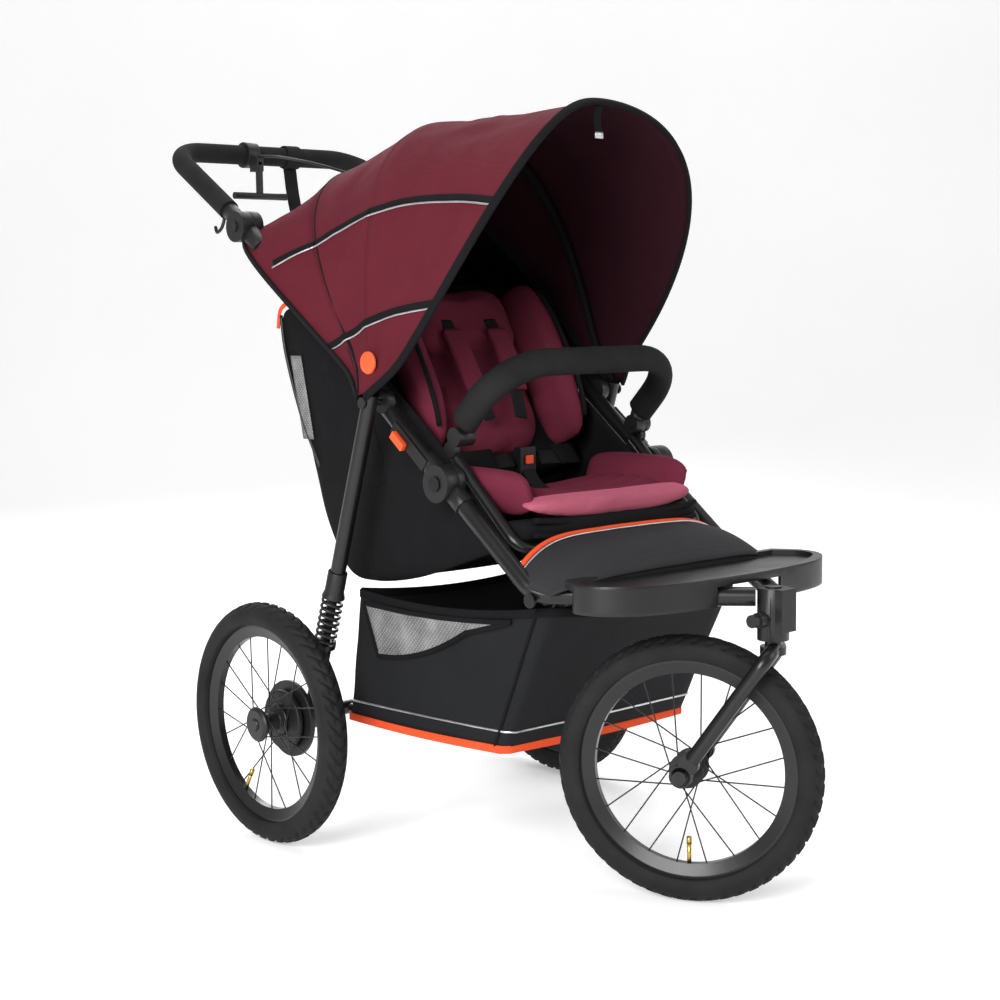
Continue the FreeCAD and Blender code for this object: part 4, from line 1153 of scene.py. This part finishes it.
# ---------------------------------------------------------------- harness and straps
# Points on the backrest: distance from its middle, height up it and distance out of it.
SHOULDER_STRAP = [(0.048, 0.262, 0.078), (0.05, 0.215, 0.082), (0.046, 0.14, 0.082), (0.034, 0.075, 0.08)]
SHOULDER_PAD = [(0.049, 0.240, 0.083), (0.049, 0.190, 0.087), (0.043, 0.125, 0.086)]


def strap(name, points, normal, size, body, material=None):
    """A strap of webbing through points, its flat face turned one way all along."""
    path = smooth_path(points, 8)
    return tape(name, path, [Vector(normal)] * len(path), size, body, "black_fabric", material or webbing)


def build_harness():
    """Shoulder, waist and crotch straps with their pads. The two lower straps end at the buckle."""
    low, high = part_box("harness_buckle")
    middle = (low + high) / 2
    lap = (0, -0.8, 0.6)
    for side_name, side in SIDES.items():
        shoulder = [on_back(side * across, height, out) for across, height, out in SHOULDER_STRAP]
        strap("shoulder_strap_" + side_name, shoulder, BACK_OUT, (0.026, 0.0024), "backrest")
        cover = [on_back(side * across, height, out) for across, height, out in SHOULDER_PAD]
        strap("shoulder_pad_" + side_name, cover, BACK_OUT, (0.044, 0.010), "backrest",
              MATERIALS["liner_fabric"])
        waist = [(side * 0.150, -0.045, 0.622), (side * 0.100, -0.072, 0.628),
                 (side * 0.030, middle.y - 0.001, middle.z + 0.004)]
        strap("waist_strap_" + side_name, waist, lap, (0.026, 0.0024), "chassis")
        cover = [(side * 0.130, -0.055, 0.630), (side * 0.070, -0.076, 0.634)]
        strap("waist_pad_" + side_name, cover, lap, (0.040, 0.009), "chassis", MATERIALS["black_fabric"])
    crotch = [(0, middle.y - 0.006, low.z + 0.010), (0, middle.y - 0.03, 0.590), (0, -0.150, 0.577),
              (0, -0.185, 0.572)]
    strap("crotch_strap", crotch, (0, -0.4, 0.9), (0.028, 0.003), "chassis")
    loop = [(-0.075, -0.100, 0.612), (-0.092, -0.130, 0.604), (-0.080, -0.155, 0.598)]
    strap("orange_loop", loop, (0, -0.2, 0.95), (0.006, 0.003), "chassis", orange_tape)


def build_handle_details():
    """Wrist strap round the bar, brake cable and the small hook below the left arm."""
    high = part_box("handlebar_grip")[1]
    bar_y = high.y - 0.018
    bar_z = high.z - 0.018
    ways = [Vector((0, math.cos(turn), math.sin(turn))) for turn in turns(24)]
    ring = [Vector((0.055, bar_y, bar_z)) + way * 0.0205 for way in ways]
    tape("wrist_strap_loop", ring, ways, (0.034, 0.003), "handlebar", "black_fabric", webbing, closed=True)
    tail = [(0.055, bar_y + 0.002, bar_z - 0.020), (0.056, bar_y - 0.008, bar_z - 0.080),
            (0.058, bar_y - 0.030, bar_z - 0.150), (0.060, bar_y - 0.050, bar_z - 0.205)]
    strap("wrist_strap_tail", tail, (0, 0.97, 0.2), (0.030, 0.003), "handlebar")
    low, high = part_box("brake_lever_clamp")
    clamp = Vector(((low.x + high.x) / 2, low.y + 0.004, (low.z + high.z) / 2))
    run = [(0, 0, 0), (0.02, -0.045, -0.004), (0.08, -0.09, -0.02), (0.16, -0.12, -0.045),
           (0.240, -0.13, -0.072)]
    cable = smooth_path([clamp + Vector(step) for step in run], 10)
    cord("brake_cable", cable, 0.0025, "handlebar", "black_plastic", sides=10)
    arm = Vector((-0.2215, handle_joint.y + 0.072, handle_joint.z + 0.020))
    run = [(0, 0, 0), (-0.004, 0.004, -0.018), (-0.006, 0.016, -0.026), (-0.004, 0.024, -0.016)]
    hook = smooth_path([arm + Vector(step) for step in run], 6)
    cord("bag_hook", hook, 0.003, "handlebar", "black_plastic", sides=10)


# ---------------------------------------------------------------- stage
VIEW_WAY = Vector((0.6677, 0.7444, 0)).normalized()
SWEEP_START = 4.0
SWEEP_BEND = 3.0
# Each lamp: its place, width and power.
LAMPS = {
    "key": ((-3.6, -1.8, 2.1), 2.0, 205),
    "fill": ((2.4, -3.4, 2.2), 2.5, 45),
    "top": ((0.6, 0.8, 3.8), 2.6, 55),
    "back": ((1.8, 3.4, 2.4), 2.0, 50),
}
LAMP_TARGET = Vector((0, 0, 0.6))
WORLD_LIGHT = 0.38
CAMERA_LENS = 65.34
CAMERA_PLACE = (-2.00807, -2.25267, 0.88207)
CAMERA_RIGHT = Vector((0.74369899, -0.66839564, -0.01261267))
CAMERA_UP = Vector((0.08093629, 0.07129482, 0.99416617))


def build_sweep():
    """Pale sweep that runs flat under the stroller and curves up behind it."""
    tree = Tree("studio_sweep")
    tree.feed("Base Color", tree.ramp(tree.noise(0.6), (0.86, 0.86, 0.86), (0.90, 0.90, 0.90)))
    tree.set(Roughness=0.9, Specular_IOR_Level=0.1, Emission_Strength=0.31)
    tree.shader.inputs["Emission Color"].default_value = (1, 1, 1, 1)
    tree.bump((tree.noise(60), 0.02, 0.001))
    aside = Vector((VIEW_WAY.y, -VIEW_WAY.x, 0))
    profile = [(-9.0, 0.0), (SWEEP_START, 0.0)]
    for k in range(1, 17):
        angle = math.pi / 2 * k / 16
        along = SWEEP_START + SWEEP_BEND * math.sin(angle)
        profile.append((along, SWEEP_BEND - SWEEP_BEND * math.cos(angle)))
    profile.append((SWEEP_START + SWEEP_BEND, 9.0))
    rows = [[VIEW_WAY * along + aside * across + Vector((0, 0, rise)) for across in (-12, -4, 4, 12)]
            for along, rise in profile]
    floor = sheet("studio_sweep", rows)
    face_outward(floor, Vector((0, 0, -50)))
    floor.data.materials.append(tree.material)


def build_world():
    """White surroundings that look brighter to the camera than the light that they give."""
    world = bpy.data.worlds.new("studio")
    world.use_nodes = True
    nodes = world.node_tree.nodes
    path_node = nodes.new("ShaderNodeLightPath")
    strength = nodes.new("ShaderNodeMapRange")
    strength.inputs["To Min"].default_value = WORLD_LIGHT
    strength.inputs["To Max"].default_value = 1.0
    world.node_tree.links.new(path_node.outputs["Is Camera Ray"], strength.inputs["Value"])
    world.node_tree.links.new(strength.outputs["Result"], nodes["Background"].inputs["Strength"])
    nodes["Background"].inputs["Color"].default_value = (1, 1, 1, 1)
    bpy.context.scene.world = world


def build_stage():
    """The sweep, the surroundings, the lamps and the camera."""
    build_sweep()
    build_world()
    scene = bpy.context.scene
    for name, (place, width, power) in LAMPS.items():
        light = bpy.data.lights.new(name, "AREA")
        light.size = width
        light.energy = power
        lamp = bpy.data.objects.new(name, light)
        lamp.location = place
        lamp.rotation_mode = "QUATERNION"
        lamp.rotation_quaternion = (LAMP_TARGET - Vector(place)).to_track_quat("-Z", "Y")
        scene.collection.objects.link(lamp)
    lens = bpy.data.cameras.new("camera")
    lens.sensor_width = 36
    lens.lens = CAMERA_LENS
    camera = bpy.data.objects.new("camera", lens)
    turn = Matrix((CAMERA_RIGHT, CAMERA_UP, CAMERA_RIGHT.cross(CAMERA_UP))).transposed().to_4x4()
    camera.matrix_world = Matrix.Translation(CAMERA_PLACE) @ turn
    scene.collection.objects.link(camera)
    scene.camera = camera
    scene.view_settings.view_transform = "Standard"


dress_cad_nodes()
build_hood()
build_wheels()
build_springs()
build_bumper()
build_basket()
build_seat()
build_backrest()
build_pouch()
build_apron()
build_harness()
build_handle_details()
build_stage()
